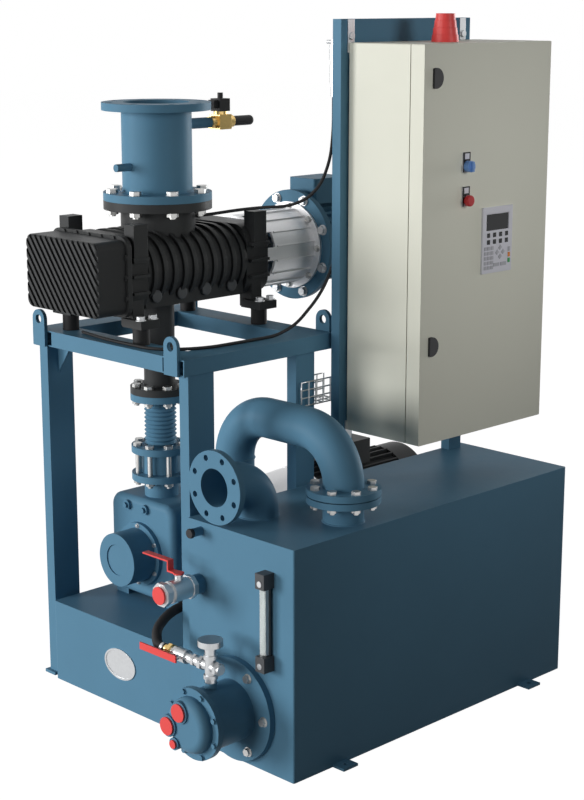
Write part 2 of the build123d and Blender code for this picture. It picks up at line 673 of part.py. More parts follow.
def control_gear():
    """Frequency inverter, breakers, contactors, terminals and wiring ducts."""
    x = CABINET_BACK_X + CABINET_WALL + 15
    left = CABINET_FRONT_EDGE + 70
    base = CABINET_BOTTOM + 90
    gear = [block((x, x + 150), (left, left + 190), (base + 560, base + 940))]
    for index in range(6):
        start = left + 30 + index * 62
        gear.append(block((x, x + 90), (start, start + 54), (base + 330, base + 430)))
    gear.append(block((x, x + 70), (left + 30, left + 400), (base + 150, base + 240)))
    for duct_z in (base + 40, base + 270, base + 480):
        gear.append(block((x, x + 50), (left, left + 440), (duct_z, duct_z + 40)))
    return gear


def beacon():
    """Warning lamp: a ribbed cone on a short socket."""
    x = CABINET_BACK_X + CABINET_DEPTH / 2
    steps = 4
    lamp = None
    for index in range(steps):
        low = CABINET_TOP + BEACON_HEIGHT * index / steps
        share = index / (steps - 1)
        wide = BEACON_RADIUS + (BEACON_TOP_RADIUS - BEACON_RADIUS) * share
        height = BEACON_HEIGHT / steps
        ring = Pos(x, BEACON_Y, low + height / 2) * Cone(wide, wide - 2, height)
        lamp = ring if lamp is None else lamp + ring
    return lamp


def rotor_outline(phase):
    """Two-lobe profile: epicycloid outside the pitch circle, hypocycloid inside."""
    rolling = ROTOR_PITCH_RADIUS / 4
    points = []
    count = 48
    for index in range(count):
        angle = 2 * pi * (index + 0.5) / count
        lobe = int((angle + pi / 4) // (pi / 2)) % 2 == 0
        sum_radius = ROTOR_PITCH_RADIUS + rolling if lobe else ROTOR_PITCH_RADIUS - rolling
        centre = round(angle / (pi / 2)) * (pi / 2)
        start = angle - centre
        if lobe:
            px = sum_radius * cos(start) + rolling * cos(sum_radius / rolling * start)
            py = sum_radius * sin(start) + rolling * sin(sum_radius / rolling * start)
        else:
            px = sum_radius * cos(start) - rolling * cos(sum_radius / rolling * start)
            py = sum_radius * sin(start) + rolling * sin(sum_radius / rolling * start)
        turn = centre + phase
        points.append((px * cos(turn) - py * sin(turn), px * sin(turn) + py * cos(turn)))
    return points


def inset(points, distance):
    """The closed outline moved inward along its normals."""
    moved = []
    for before, point, after in zip(points[-1:] + points[:-1], points, points[1:] + points[:1]):
        run_x, run_y = after[0] - before[0], after[1] - before[1]
        size = (run_x**2 + run_y**2) ** 0.5
        moved.append((point[0] - distance * run_y / size, point[1] + distance * run_x / size))
    return moved


def rotor(x, phase):
    """Rotor with its shaft journals; lobes end just short of the end plates."""
    face = make_face(Spline(*inset(rotor_outline(phase), ROTOR_CLEARANCE), periodic=True))
    length = CHAMBER_LENGTH - 2 * CHAMBER_CLEARANCE
    body = Pos(x, CHAMBER_BACK - CHAMBER_CLEARANCE, AXIS_Z) * Rot(90, 0, 0) * extrude(face, length)
    return body


def drive_rotor():
    body = rotor(ROTOR_X[0], 0.0)
    front = GEAR_PLATE_FRONT - GEAR_WIDTH - 20
    back = TRANSFER_Y + TRANSFER_WIDTH
    body += rod_y(ROTOR_X[0], (front, back), AXIS_Z, SHAFT_RADIUS)
    wheel = gear_blank(ROTOR_PITCH_RADIUS / 2, TRANSFER_WIDTH)
    return body + Pos(ROTOR_X[0], back, AXIS_Z) * Rot(90, 0, 0) * wheel


def driven_rotor():
    body = rotor(ROTOR_X[1], pi / 2)
    front = GEAR_PLATE_FRONT - GEAR_WIDTH - 20
    return body + rod_y(ROTOR_X[1], (front, MOTOR_PLATE_BACK - 30), AXIS_Z, SHAFT_RADIUS)


def gear_blank(pitch, width):
    """Spur gear with straight-sided teeth, a tooth on the +X line."""
    module = 2 * pitch / GEAR_TEETH
    root = pitch - 1.2 * module
    tip = pitch + 0.9 * module
    step = 2 * pi / GEAR_TEETH
    half = step / 4 - GEAR_BACKLASH * module / GEAR_MODULE / 2 / pitch
    points = []
    for index in range(GEAR_TEETH):
        mid = index * step
        for radius, spread in ((root, -1.45), (tip, -0.5), (tip, 0.5), (root, 1.45)):
            angle = mid + spread * half
            points.append((radius * cos(angle), radius * sin(angle)))
    return extrude(make_face(Polyline(*points, close=True)), width)


def timing_gear(x):
    y = GEAR_PLATE_FRONT - 10
    wheel = Pos(x, y, AXIS_Z) * Rot(90, 0, 0) * gear_blank(ROTOR_PITCH_RADIUS, GEAR_WIDTH)
    return wheel - rod_y(x, (y - GEAR_WIDTH, y), AXIS_Z, SHAFT_RADIUS)


def suction_joint_ring(thickness, bore):
    """Flange of the joint between the suction pipe and the blower."""
    return flange(
        SUCTION_FLANGE_RADIUS, bore, thickness, SUCTION_PCD, SUCTION_BOLTS, SUCTION_JOINT_HOLE_RADIUS
    )


def blower_casing():
    """Ribbed casing with its twin-bore chamber, suction neck and discharge neck."""
    span = (CHAMBER_FRONT, CHAMBER_BACK)
    body = slot_y(ROTOR_PITCH_RADIUS, CASING_RADIUS, span, AXIS_Z)
    pitch = CHAMBER_LENGTH / RIB_COUNT
    for index in range(RIB_COUNT):
        middle = CHAMBER_FRONT + (index + 0.5) * pitch
        rib = (middle - RIB_THICKNESS / 2, middle + RIB_THICKNESS / 2)
        body += slot_y(ROTOR_PITCH_RADIUS, CASING_RADIUS + RIB_HEIGHT, rib, AXIS_Z)
    floor = AXIS_Z - CASING_RADIUS
    body += block((-FLANK_HALF_WIDTH, FLANK_HALF_WIDTH), span, (floor, FLANK_TOP))
    for y in PLUG_PLACES:
        reach = FLANK_HALF_WIDTH + PLUG_REACH
        body += rod_x((-reach, reach), y, PLUG_Z, PLUG_RADIUS)
    neck_top = SUCTION_JOINT_Z - BLOWER_FLANGE_THICKNESS
    body += rod_z(0, 0, (AXIS_Z, neck_top), SUCTION_BORE_RADIUS + 14)
    body += Pos(0, 0, neck_top) * suction_joint_ring(BLOWER_FLANGE_THICKNESS, 0)
    outlet = Pos(0, STACK_Y, STACK_TOP_JOINT) * flange(
        STACK_FLANGE_RADIUS, 0, STACK_FLANGE_THICKNESS, STACK_PCD, STACK_BOLTS, STACK_HOLE_RADIUS
    )
    body += rod_z(0, STACK_Y, (STACK_TOP_JOINT + STACK_FLANGE_THICKNESS, AXIS_Z), PUMP_NECK_RADIUS - 5)
    body += outlet
    for x in ROTOR_X:
        body -= rod_y(x, span, AXIS_Z, CHAMBER_RADIUS)
    body -= rod_z(0, 0, (AXIS_Z + 40, SUCTION_JOINT_Z), CASING_INLET_RADIUS)
    body -= rod_z(0, STACK_Y, (STACK_TOP_JOINT, AXIS_Z - 40), STACK_BORE_RADIUS)
    return body


def end_plate(span):
    """Cast end plate with pads above, feet below, side ribs and room for the shafts."""
    plate = rounded_y(COVER_HALF_WIDTH - 8, COVER_HALF_HEIGHT, 60, span, 0, AXIS_Z)
    middle = (span[0] + span[1]) / 2
    for way in (-1, 1):
        x = way * PAD_CENTRE
        pad_x = (x - PAD_WIDTH / 2, x + PAD_WIDTH / 2)
        pad_y = (middle - PAD_DEPTH / 2, middle + PAD_DEPTH / 2)
        plate += block(pad_x, pad_y, (AXIS_Z + 40, AXIS_Z + PAD_HALF_HEIGHT))
        x = way * FOOT_CENTRE
        low = AXIS_Z - PAD_HALF_HEIGHT
        foot_y = (middle - FOOT_DEPTH / 2, middle + FOOT_DEPTH / 2)
        plate += block((x - FOOT_WIDTH / 2, x + FOOT_WIDTH / 2), foot_y, (low, low + FOOT_THICKNESS))
        x = way * FOOT_CENTRE * 0.78
        plate += block((x - 28, x + 28), (middle - 22, middle + 22), (low, AXIS_Z - 40))
        side = sorted((way * (COVER_HALF_WIDTH - 20), way * (COVER_HALF_WIDTH + PLATE_RIB)))
        for z in (AXIS_Z - 52, AXIS_Z, AXIS_Z + 52):
            plate += block(side, (span[0] + 8, span[1] - 8), (z - PLATE_RIB / 2, z + PLATE_RIB / 2))
    return plate


def bearing_seats(plate, seat):
    """Cuts the bearing bores from one face and the shaft bores right through."""
    for x in ROTOR_X:
        plate -= rod_y(x, seat, AXIS_Z, BEARING_RADIUS)
        plate -= rod_y(x, (GEAR_PLATE_FRONT - 1, MOTOR_PLATE_BACK + 1), AXIS_Z, SHAFT_RADIUS + 3)
    return plate


def gear_end_plate():
    plate = end_plate((GEAR_PLATE_FRONT, CHAMBER_FRONT))
    return bearing_seats(plate, (GEAR_PLATE_FRONT, GEAR_PLATE_FRONT + BEARING_WIDTH))


def motor_end_plate():
    plate = end_plate((CHAMBER_BACK, MOTOR_PLATE_BACK))
    return bearing_seats(plate, (MOTOR_PLATE_BACK - BEARING_WIDTH, MOTOR_PLATE_BACK))


def blower_bearings():
    """Four rolling bearings, drawn as closed rings."""
    rings = []
    for y in (GEAR_PLATE_FRONT, MOTOR_PLATE_BACK - BEARING_WIDTH):
        for x in ROTOR_X:
            ring = rod_y(x, (y, y + BEARING_WIDTH), AXIS_Z, BEARING_RADIUS)
            rings.append(ring - rod_y(x, (y, y + BEARING_WIDTH), AXIS_Z, SHAFT_RADIUS + RUNNING_CLEARANCE))
    return rings


def cover_screw_places():
    """Centres of the screws round the rim of the gear cover."""
    wide = COVER_HALF_WIDTH + COVER_RIM - COVER_SCREW_RADIUS * HEAD_FACTOR
    high = COVER_HALF_HEIGHT + COVER_RIM - COVER_SCREW_RADIUS * HEAD_FACTOR
    rows = [(x, AXIS_Z + up * high) for x in (-120, -60, 0, 60, 120) for up in (-1, 1)]
    return rows + [(way * wide, AXIS_Z + z) for z in (-62, 0, 62) for way in (-1, 1)]


def gear_cover():
    """Oil housing over the timing gears, grooved on the slant over its whole face."""
    span = (GEAR_COVER_FRONT, GEAR_PLATE_FRONT)
    cover = rounded_y(COVER_HALF_WIDTH, COVER_HALF_HEIGHT, COVER_CORNER, span, 0, AXIS_Z)
    cover = fillet(cover.faces().sort_by(Axis.Y)[0].edges(), 9.0)
    rim = (span[1] - COVER_RIM_THICKNESS, span[1])
    wide, high = COVER_HALF_WIDTH + COVER_RIM, COVER_HALF_HEIGHT + COVER_RIM
    cover += rounded_y(wide, high, COVER_CORNER + COVER_RIM, rim, 0, AXIS_Z)
    reach = COVER_HALF_WIDTH + COVER_HALF_HEIGHT
    slant = radians(COVER_GROOVE_ANGLE)
    count = int(reach / COVER_GROOVE_PITCH)
    groove = Box(COVER_GROOVE_WIDTH, 2 * COVER_GROOVE_DEPTH, 2 * reach)
    for index in range(-count, count + 1):
        shift = (index + 0.5) * COVER_GROOVE_PITCH
        centre = Pos(shift * cos(slant), span[0], AXIS_Z + shift * sin(slant))
        cover -= centre * Rot(0, -COVER_GROOVE_ANGLE, 0) * groove
    wall = GEAR_COVER_WALL
    cavity = (span[0] + 3 * wall, span[1])
    cover -= rounded_y(COVER_HALF_WIDTH - 4 * wall, COVER_HALF_HEIGHT - 3 * wall, COVER_CORNER, cavity, 0, AXIS_Z)
    head = Rot(90, 0, 0) * hexagon_head(COVER_SCREW_RADIUS, COVER_SCREW_RADIUS)
    for x, z in cover_screw_places():
        cover += Pos(x, rim[0], z) * head
    return cover


def blower_feet():
    """Machine mounts between the blower's feet and the frame."""
    mounts = []
    for x in (-FOOT_CENTRE, FOOT_CENTRE):
        for y in ((GEAR_PLATE_FRONT + CHAMBER_FRONT) / 2, (CHAMBER_BACK + MOTOR_PLATE_BACK) / 2):
            mounts.append(rod_z(x, y, (FRAME_TOP, AXIS_Z - PAD_HALF_HEIGHT), 26.0))
    return mounts


def inlet_pipe():
    """DN200 spool with a flange at each end and a branch for the bleed valve."""
    top_ring = flange(
        SUCTION_FLANGE_RADIUS,
        SUCTION_BORE_RADIUS,
        SUCTION_FLANGE_THICKNESS,
        SUCTION_PCD,
        SUCTION_BOLTS,
        SUCTION_HOLE_RADIUS,
    )
    body = Pos(0, 0, SUCTION_TOP - SUCTION_FLANGE_THICKNESS) * top_ring
    body += Pos(0, 0, SUCTION_JOINT_Z) * suction_joint_ring(SUCTION_FLANGE_THICKNESS, SUCTION_BORE_RADIUS)
    body += rod_z(0, 0, (SUCTION_JOINT_Z, SUCTION_TOP), SUCTION_PIPE_RADIUS)
    body += Rot(0, 0, BLEED_ANGLE) * rod_x((60, BLEED_PIPE_REACH), 0, BLEED_Z, BLEED_PIPE_RADIUS)
    body += rod_y(0, (-165, -60), SUCTION_JOINT_Z + 106, 12.0)
    return body - rod_z(0, 0, (SUCTION_JOINT_Z, SUCTION_TOP), SUCTION_BORE_RADIUS)


def bleed_valve():
    """Brass solenoid valve body on the branch."""
    start = BLEED_PIPE_REACH
    body = rod_x((start, start + 95), 0, BLEED_Z, 20.0)
    body += block((start + 22, start + 73), (-25, 25), (BLEED_Z - 23, BLEED_Z + 24))
    body += rod_z(start + 47, 0, (BLEED_Z + 24, BLEED_Z + 34), 22.0)
    return Rot(0, 0, BLEED_ANGLE) * body


def bleed_filter():
    """Coil on top of the valve, and the air filter at its end."""
    start = BLEED_PIPE_REACH
    coil = block((start + 25, start + 69), (-22, 22), (BLEED_Z + 34, BLEED_Z + 74))
    coil += block((start + 8, start + 25), (-14, 14), (BLEED_Z + 44, BLEED_Z + 70))
    coil += rod_z(start + 47, 0, (BLEED_Z + 74, BLEED_Z + 92), 9.0)
    silencer = rod_x((start + 95, start + 185), 0, BLEED_Z, 16.0)
    silencer = fillet(silencer.edges().group_by(Axis.X)[-1], 12.0)
    return [Rot(0, 0, BLEED_ANGLE) * coil, Rot(0, 0, BLEED_ANGLE) * silencer]


def bell_housing():
    """Cast adaptor between blower and motor, with windows on the coupling and outer ribs."""
    x = MOTOR_X
    span = (MOTOR_PLATE_BACK, MOTOR_FLANGE_Y)
    body = rod_y(x, span, AXIS_Z, BELL_RADIUS)
    body += rod_y(x, (span[1] - BELL_WALL, span[1]), AXIS_Z, BELL_RADIUS + BELL_RIM)
    window = (span[0] + 2 * BELL_WALL, span[0] + 2 * BELL_WALL + BELL_WINDOW_LENGTH)
    rib_span = (window[1] + BELL_WALL, span[1] - BELL_WALL)
    length = rib_span[1] - rib_span[0]
    rib = Pos(BELL_RADIUS, 0, 0) * Box(2 * BELL_RIB_HEIGHT, length, BELL_RIB_WIDTH)
    for index in range(BELL_RIB_COUNT):
        turn = Rot(0, 360.0 * (index + 0.5) / BELL_RIB_COUNT, 0)
        body += Pos(x, rib_span[0] + length / 2, AXIS_Z) * turn * rib
    body -= rod_y(x, (span[0] + BELL_WALL, span[1]), AXIS_Z, BELL_RADIUS - BELL_WALL)
    opening = Pos(BELL_RADIUS, 0, 0) * Box(BELL_RADIUS, BELL_WINDOW_LENGTH, BELL_WINDOW_WIDTH)
    for index in range(BELL_WINDOWS):
        turn = Rot(0, 360.0 * (index + 0.5) / BELL_WINDOWS, 0)
        body -= Pos(x, (window[0] + window[1]) / 2, AXIS_Z) * turn * opening
    return body - rod_y(ROTOR_X[0], (span[0], span[0] + BELL_WALL), AXIS_Z, SHAFT_RADIUS + 5)


def finned_barrel(radius, span, fin_height, fin_count, fin_thickness, x, z, bore):
    """Motor frame with cooling fins along its length."""
    body = rod_y(x, span, z, radius)
    length = span[1] - span[0]
    for index in range(fin_count):
        angle = 360.0 * index / fin_count
        middle = Pos(radius + fin_height / 2 - 2, 0, 0)
        fin = Rot(0, -angle, 0) * middle * Box(fin_height + 4, length, fin_thickness)
        body += Pos(x, span[0] + length / 2, z) * fin
    return body - rod_y(x, span, z, bore)


def blower_motor():
    x = MOTOR_X
    body = finned_barrel(
        BLOWER_MOTOR_RADIUS,
        (MOTOR_BODY_Y, COWL_Y),
        BLOWER_FIN_HEIGHT,
        BLOWER_FIN_COUNT,
        BLOWER_FIN_THICKNESS,
        x,
        AXIS_Z,
        MOTOR_SHAFT_RADIUS + RUNNING_CLEARANCE,
    )
    ring = rod_y(x, (MOTOR_FLANGE_Y, MOTOR_BODY_Y), AXIS_Z, BLOWER_MOTOR_FLANGE_RADIUS)
    return body + (ring - rod_y(x, (MOTOR_FLANGE_Y, MOTOR_BODY_Y), AXIS_Z, MOTOR_SHAFT_RADIUS + RUNNING_CLEARANCE))


def motor_terminal_box():
    low = AXIS_Z + BLOWER_MOTOR_RADIUS + BLOWER_FIN_HEIGHT
    x = MOTOR_X
    box = block((x - 62, x + 62), (MOTOR_BODY_Y + 30, MOTOR_BODY_Y + 190), (low, low + 85))
    return fillet(box.edges().filter_by(Axis.Z), 10.0)


def motor_fan_cowl():
    x = MOTOR_X
    outer = BLOWER_MOTOR_RADIUS + BLOWER_FIN_HEIGHT
    span = (COWL_Y, COWL_Y + COWL_LENGTH)
    cowl = rod_y(x, span, AXIS_Z, outer)
    cowl -= rod_y(x, (span[0], span[1] - COWL_WALL), AXIS_Z, outer - COWL_WALL)
    for ring in (40.0, 65.0, 90.0):
        count = int(ring / 5)
        for index in range(count):
            angle = 2 * pi * index / count
            hole_x, hole_z = x + ring * cos(angle), AXIS_Z + ring * sin(angle)
            cowl -= rod_y(hole_x, (span[1] - COWL_WALL, span[1]), hole_z, 7.0)
    return cowl


def motor_coupling():
    """Motor shaft, jaw coupling and cooling fan, which turn as one."""
    x = MOTOR_X
    middle = MOTOR_PLATE_BACK + 60
    body = rod_y(x, (middle, middle + 90), AXIS_Z, COUPLING_RADIUS)
    body += rod_y(x, (TRANSFER_Y, COWL_Y + 55), AXIS_Z, MOTOR_SHAFT_RADIUS)
    pinion = gear_blank(ROTOR_PITCH_RADIUS / 2, TRANSFER_WIDTH)
    body += Pos(x, TRANSFER_Y + TRANSFER_WIDTH, AXIS_Z) * Rot(90, 0, 0) * pinion
    hub = (COWL_Y + 20, COWL_Y + 50)
    body += rod_y(x, hub, AXIS_Z, 35.0)
    for index in range(FAN_BLADES):
        angle = 360.0 * index / FAN_BLADES
        blade = Rot(0, -angle, 0) * Pos((30 + FAN_RADIUS) / 2, 0, 0) * Box(FAN_RADIUS - 30, 30, 4)
        body += Pos(x, (hub[0] + hub[1]) / 2, AXIS_Z) * blade
    return body


def bellows():
    """Flexible connector: flanges and a corrugated tube, revolved."""
    top = STACK_TOP_JOINT
    low = BELLOWS_BOTTOM
    ring = flange(
        STACK_FLANGE_RADIUS, STACK_BORE_RADIUS, STACK_FLANGE_THICKNESS, STACK_PCD, STACK_BOLTS, STACK_HOLE_RADIUS
    )
    body = Pos(0, STACK_Y, low) * ring + Pos(0, STACK_Y, top - STACK_FLANGE_THICKNESS) * ring
    start = low + STACK_FLANGE_THICKNESS
    pitch = (top - STACK_FLANGE_THICKNESS - start) / BELLOWS_COUNT
    outline = [(STACK_BORE_RADIUS, start), (BELLOWS_ROOT_RADIUS, start)]
    for index in range(BELLOWS_COUNT):
        outline.append((BELLOWS_RADIUS, start + (index + 0.5) * pitch))
        outline.append((BELLOWS_ROOT_RADIUS, start + (index + 1) * pitch))
    outline.append((STACK_BORE_RADIUS, top - STACK_FLANGE_THICKNESS))
    profile = Plane.XZ * make_face(Polyline(*outline, close=True))
    return body + Pos(0, STACK_Y, 0) * revolve(profile, Axis.Z)


def check_valve_body():
    """Wafer check valve: ring with a seat at the bottom."""
    span = (CHECK_BOTTOM, BELLOWS_BOTTOM)
    body = rod_z(0, STACK_Y, span, CHECK_BODY_RADIUS - 8)
    body -= rod_z(0, STACK_Y, span, STACK_BORE_RADIUS)
    body -= rod_z(0, STACK_Y, (span[0] + 20, span[1]), STACK_BORE_RADIUS + 12)
    wide = STACK_BORE_RADIUS + 13
    guide = (span[1] - 18, span[1])
    body += block((-wide, wide), (STACK_Y - 9, STACK_Y + 9), guide)
    return body - rod_z(0, STACK_Y, guide, CHECK_STEM_RADIUS + RUNNING_CLEARANCE)


def check_disc():
    """Valve disc on a short guide stem, resting on the seat."""
    seat = CHECK_BOTTOM + 20
    disc = rod_z(0, STACK_Y, (seat, seat + 8), STACK_BORE_RADIUS + 8)
    return disc + rod_z(0, STACK_Y, (seat + 8, BELLOWS_BOTTOM - 4), CHECK_STEM_RADIUS)


def backing_casing():
    """Cast casing of the liquid ring pump with feet, inlet neck and outlet neck."""
    span = (PUMP_FRONT, PUMP_BACK)
    base = PLINTH_HEIGHT + PUMP_FOOT_THICKNESS
    half = (PUMP_TOP - base) / 2
    body = rounded_y(PUMP_HALF_WIDTH, half, PUMP_SHOULDER, span, 0, base + half)
    body = fillet(body.faces().sort_by(Axis.Y)[0].edges(), 22.0)
    for x in (-PUMP_HALF_WIDTH, PUMP_HALF_WIDTH - PUMP_FOOT_WIDTH):
        for y in (span[0] + 20, span[1] - 20 - PUMP_FOOT_WIDTH):
            foot_x = (x, x + PUMP_FOOT_WIDTH)
            body += block(foot_x, (y, y + PUMP_FOOT_WIDTH), (PLINTH_HEIGHT, base + PUMP_SHOULDER + 10))
    for x, z in PUMP_BOSS_PLACES:
        body += rod_y(x, (span[0] - 10, span[0] + 40), z, PUMP_BOSS_RADIUS)
        body += rod_y(x, (span[0] - 18, span[0] - 10), z, PUMP_BOSS_RADIUS * 0.55)
    for y in (span[0] + 90, span[1] - 90):
        rib_x = (-PUMP_HALF_WIDTH - 6, PUMP_HALF_WIDTH + 6)
        body += block(rib_x, (y - PUMP_RIB_WIDTH / 2, y + PUMP_RIB_WIDTH / 2), (base + PUMP_SHOULDER, PUMP_TOP - 50))
    ring = flange(STACK_FLANGE_RADIUS, 0, STACK_FLANGE_THICKNESS, STACK_PCD, STACK_BOLTS, STACK_HOLE_RADIUS)
    neck_top = CHECK_BOTTOM - STACK_FLANGE_THICKNESS
    body += rod_z(0, STACK_Y, (PUMP_TOP - 30, neck_top), PUMP_NECK_RADIUS)
    body += Pos(0, STACK_Y, neck_top) * ring
    side = flange(90.0, 0, DN100_FLANGE_THICKNESS, 150.0, 8, 8.0)
    side_x = PUMP_OUTLET_X - DN100_FLANGE_THICKNESS
    body += rod_x((PUMP_HALF_WIDTH - 40, side_x), OVER_PIPE_Y, PUMP_OUTLET_Z, PIPE_RADIUS - PIPE_WALL)
    body += Pos(side_x, OVER_PIPE_Y, PUMP_OUTLET_Z) * Rot(0, 90, 0) * side
    body -= rod_z(0, STACK_Y, (PUMP_AXIS_Z, CHECK_BOTTOM), STACK_BORE_RADIUS)
    body -= rod_y(0, (IMPELLER_FRONT - 2, PUMP_BACK), PUMP_AXIS_Z, RING_RADIUS)
    shaft_bore = PUMP_SHAFT_RADIUS + RUNNING_CLEARANCE
    return body - rod_y(0, (PUMP_FRONT, PUMP_BACK), PUMP_AXIS_Z - IMPELLER_OFFSET, shaft_bore)


def backing_cover():
    """Round cover over the front bearing."""
    front = PUMP_FRONT - PUMP_COVER_REACH
    z = PUMP_AXIS_Z - 12
    body = rod_y(0, (front, PUMP_FRONT), z, PUMP_COVER_RADIUS)
    body += rod_y(0, (PUMP_FRONT - 14, PUMP_FRONT), z, PUMP_COVER_RIM_RADIUS)
    body = body - rod_y(0, (front, front + 4), z, PUMP_COVER_RADIUS * 0.58)
    body = body - rod_y(0, (PUMP_FRONT - 60, PUMP_FRONT), PUMP_AXIS_Z - IMPELLER_OFFSET, 50.0)
    return body + rod_y(0, (front + 4, front + 8), z, 20)


def backing_impeller():
    """Bladed impeller with shaft, coupling half and motor fan."""
    z = PUMP_AXIS_Z - IMPELLER_OFFSET
    body = rod_y(0, (PUMP_FRONT - 40, BACKING_COWL_Y + 60), z, PUMP_SHAFT_RADIUS)
    span = (IMPELLER_FRONT, IMPELLER_FRONT + IMPELLER_LENGTH)
    body += rod_y(0, span, z, 45.0)
    for index in range(IMPELLER_BLADES):
        angle = 360.0 * index / IMPELLER_BLADES
        blade = Pos((40 + IMPELLER_RADIUS) / 2, 0, 0) * Box(IMPELLER_RADIUS - 40, IMPELLER_LENGTH, 7)
        blade = Rot(0, -angle, 0) * blade
        body += Pos(0, (span[0] + span[1]) / 2, z) * blade
    body += rod_y(0, (PUMP_BACK + 90, PUMP_BACK + 190), z, 60.0)
    hub = (BACKING_COWL_Y + 20, BACKING_COWL_Y + 55)
    for index in range(FAN_BLADES):
        angle = 360.0 * index / FAN_BLADES
        blade = Rot(0, -angle, 0) * Pos(70, 0, 0) * Box(100, 35, 5)
        body += Pos(0, (hub[0] + hub[1]) / 2, z) * blade
    return body


def backing_bell():
    """Conical adaptor between the backing pump and its motor."""
    z = PUMP_AXIS_Z - IMPELLER_OFFSET
    span = (PUMP_BACK, BACKING_MOTOR_Y)
    middle = span[0] + 40
    body = rod_y(0, (span[0], middle), z, RING_RADIUS + 20)
    cone = Pos(0, (middle + span[1] - 30) / 2, z) * Rot(90, 0, 0)
    cone = cone * Cone(BACKING_BELL_RADIUS - 10, RING_RADIUS + 20, span[1] - 30 - middle)
    body += cone
    body += rod_y(0, (span[1] - 30, span[1]), z, BACKING_BELL_RADIUS - 8)
    body -= rod_y(0, (span[0] + 25, span[1]), z, 75.0)
    return body - rod_y(0, span, z, PUMP_SHAFT_RADIUS + RUNNING_CLEARANCE)


def backing_motor():
    """Finned motor with feet, terminal box and fan cowl."""
    z = PUMP_AXIS_Z - IMPELLER_OFFSET
    span = (BACKING_MOTOR_Y, BACKING_COWL_Y)
    body = finned_barrel(
        BACKING_MOTOR_RADIUS,
        span,
        BACKING_FIN_HEIGHT,
        BACKING_FIN_COUNT,
        BLOWER_FIN_THICKNESS,
        0,
        z,
        PUMP_SHAFT_RADIUS + RUNNING_CLEARANCE,
    )
    top = z + BACKING_MOTOR_RADIUS + BACKING_FIN_HEIGHT
    body += block((-75, 75), (span[0] + 120, span[0] + 290), (top - 20, top + 70))
    for y in (span[0] + 70, span[1] - 130):
        body += block((-130, 130), (y, y + 60), (PLINTH_HEIGHT, z - BACKING_MOTOR_RADIUS + 30))
    outer = BACKING_MOTOR_RADIUS + BACKING_FIN_HEIGHT - 4
    cowl = rod_y(0, (span[1], span[1] + BACKING_COWL_LENGTH), z, outer)
    cowl -= rod_y(0, (span[1], span[1] + BACKING_COWL_LENGTH - COWL_WALL), z, outer - COWL_WALL)
    return body + cowl


def bent_pipe(points, bend):
    """One bend of the DN100 line with the straight ends that its three points leave."""
    path = FilletPolyline(*points, radius=bend)
    section = Circle(PIPE_RADIUS) - Circle(PIPE_RADIUS - PIPE_WALL)
    return sweep(Plane(origin=path @ 0, z_dir=path % 0) * section, path=path)


def discharge_pipe():
    """Welded run from the pump outlet over to the tank, flanged at both ends."""
    joint = PUMP_OUTLET_X + DN100_FLANGE_THICKNESS
    y, top = OVER_PIPE_Y, OVER_PIPE_Z
    left, right = OVER_PIPE_X
    crown = top - PIPE_BEND
    foot_bend = left - joint - 2
    bore = PIPE_RADIUS - PIPE_WALL
    bend_end = PUMP_OUTLET_Z + foot_bend
    points = ((joint, y, PUMP_OUTLET_Z), (left, y, PUMP_OUTLET_Z), (left, y, bend_end + 1))
    foot = bent_pipe(points, foot_bend)
    side = flange(90.0, bore, DN100_FLANGE_THICKNESS, 150.0, 8, 8.0)
    foot += Pos(PUMP_OUTLET_X, y, PUMP_OUTLET_Z) * Rot(0, 90, 0) * side
    run = (bend_end + 1, crown - 1)
    riser = rod_z(left, y, run, PIPE_RADIUS) - rod_z(left, y, run, bore)
    points = ((left, y, crown - 1), (left, y, top), (left + PIPE_BEND + 1, y, top))
    first = bent_pipe(points, PIPE_BEND)
    run = (left + PIPE_BEND + 1, right - PIPE_BEND - 1)
    bridge = rod_x(run, y, top, PIPE_RADIUS) - rod_x(run, y, top, bore)
    points = ((right - PIPE_BEND - 1, y, top), (right, y, top), (right, y, OVER_FLANGE_TOP))
    second = bent_pipe(points, PIPE_BEND)
    upper = flange(DN100_FLANGE_RADIUS, bore, DN100_FLANGE_THICKNESS, DN100_PCD, DN100_BOLTS, DN100_HOLE_RADIUS)
    second += Pos(right, y, OVER_FLANGE_TOP - DN100_FLANGE_THICKNESS) * upper
    return [foot, riser, first, bridge, second]


def discharge_elbow():
    """Outlet elbow welded on the tank, with its drilled flange towards the front."""
    points = [
        (OUTLET_X, OUTLET_FACE_Y + DN100_FLANGE_THICKNESS, OUTLET_Z),
        (OUTLET_X, OUTLET_BACK_Y, OUTLET_Z),
        (OUTLET_X, OUTLET_BACK_Y, TANK_HEIGHT),
    ]
    body = bent_pipe(points, OUTLET_BEND)
    bore = PIPE_RADIUS - PIPE_WALL
    ring = flange(DN100_FLANGE_RADIUS, bore, DN100_FLANGE_THICKNESS, DN100_PCD, DN100_BOLTS, DN100_HOLE_RADIUS)
    return body + Pos(OUTLET_X, OUTLET_FACE_Y + DN100_FLANGE_THICKNESS, OUTLET_Z) * Rot(90, 0, 0) * ring


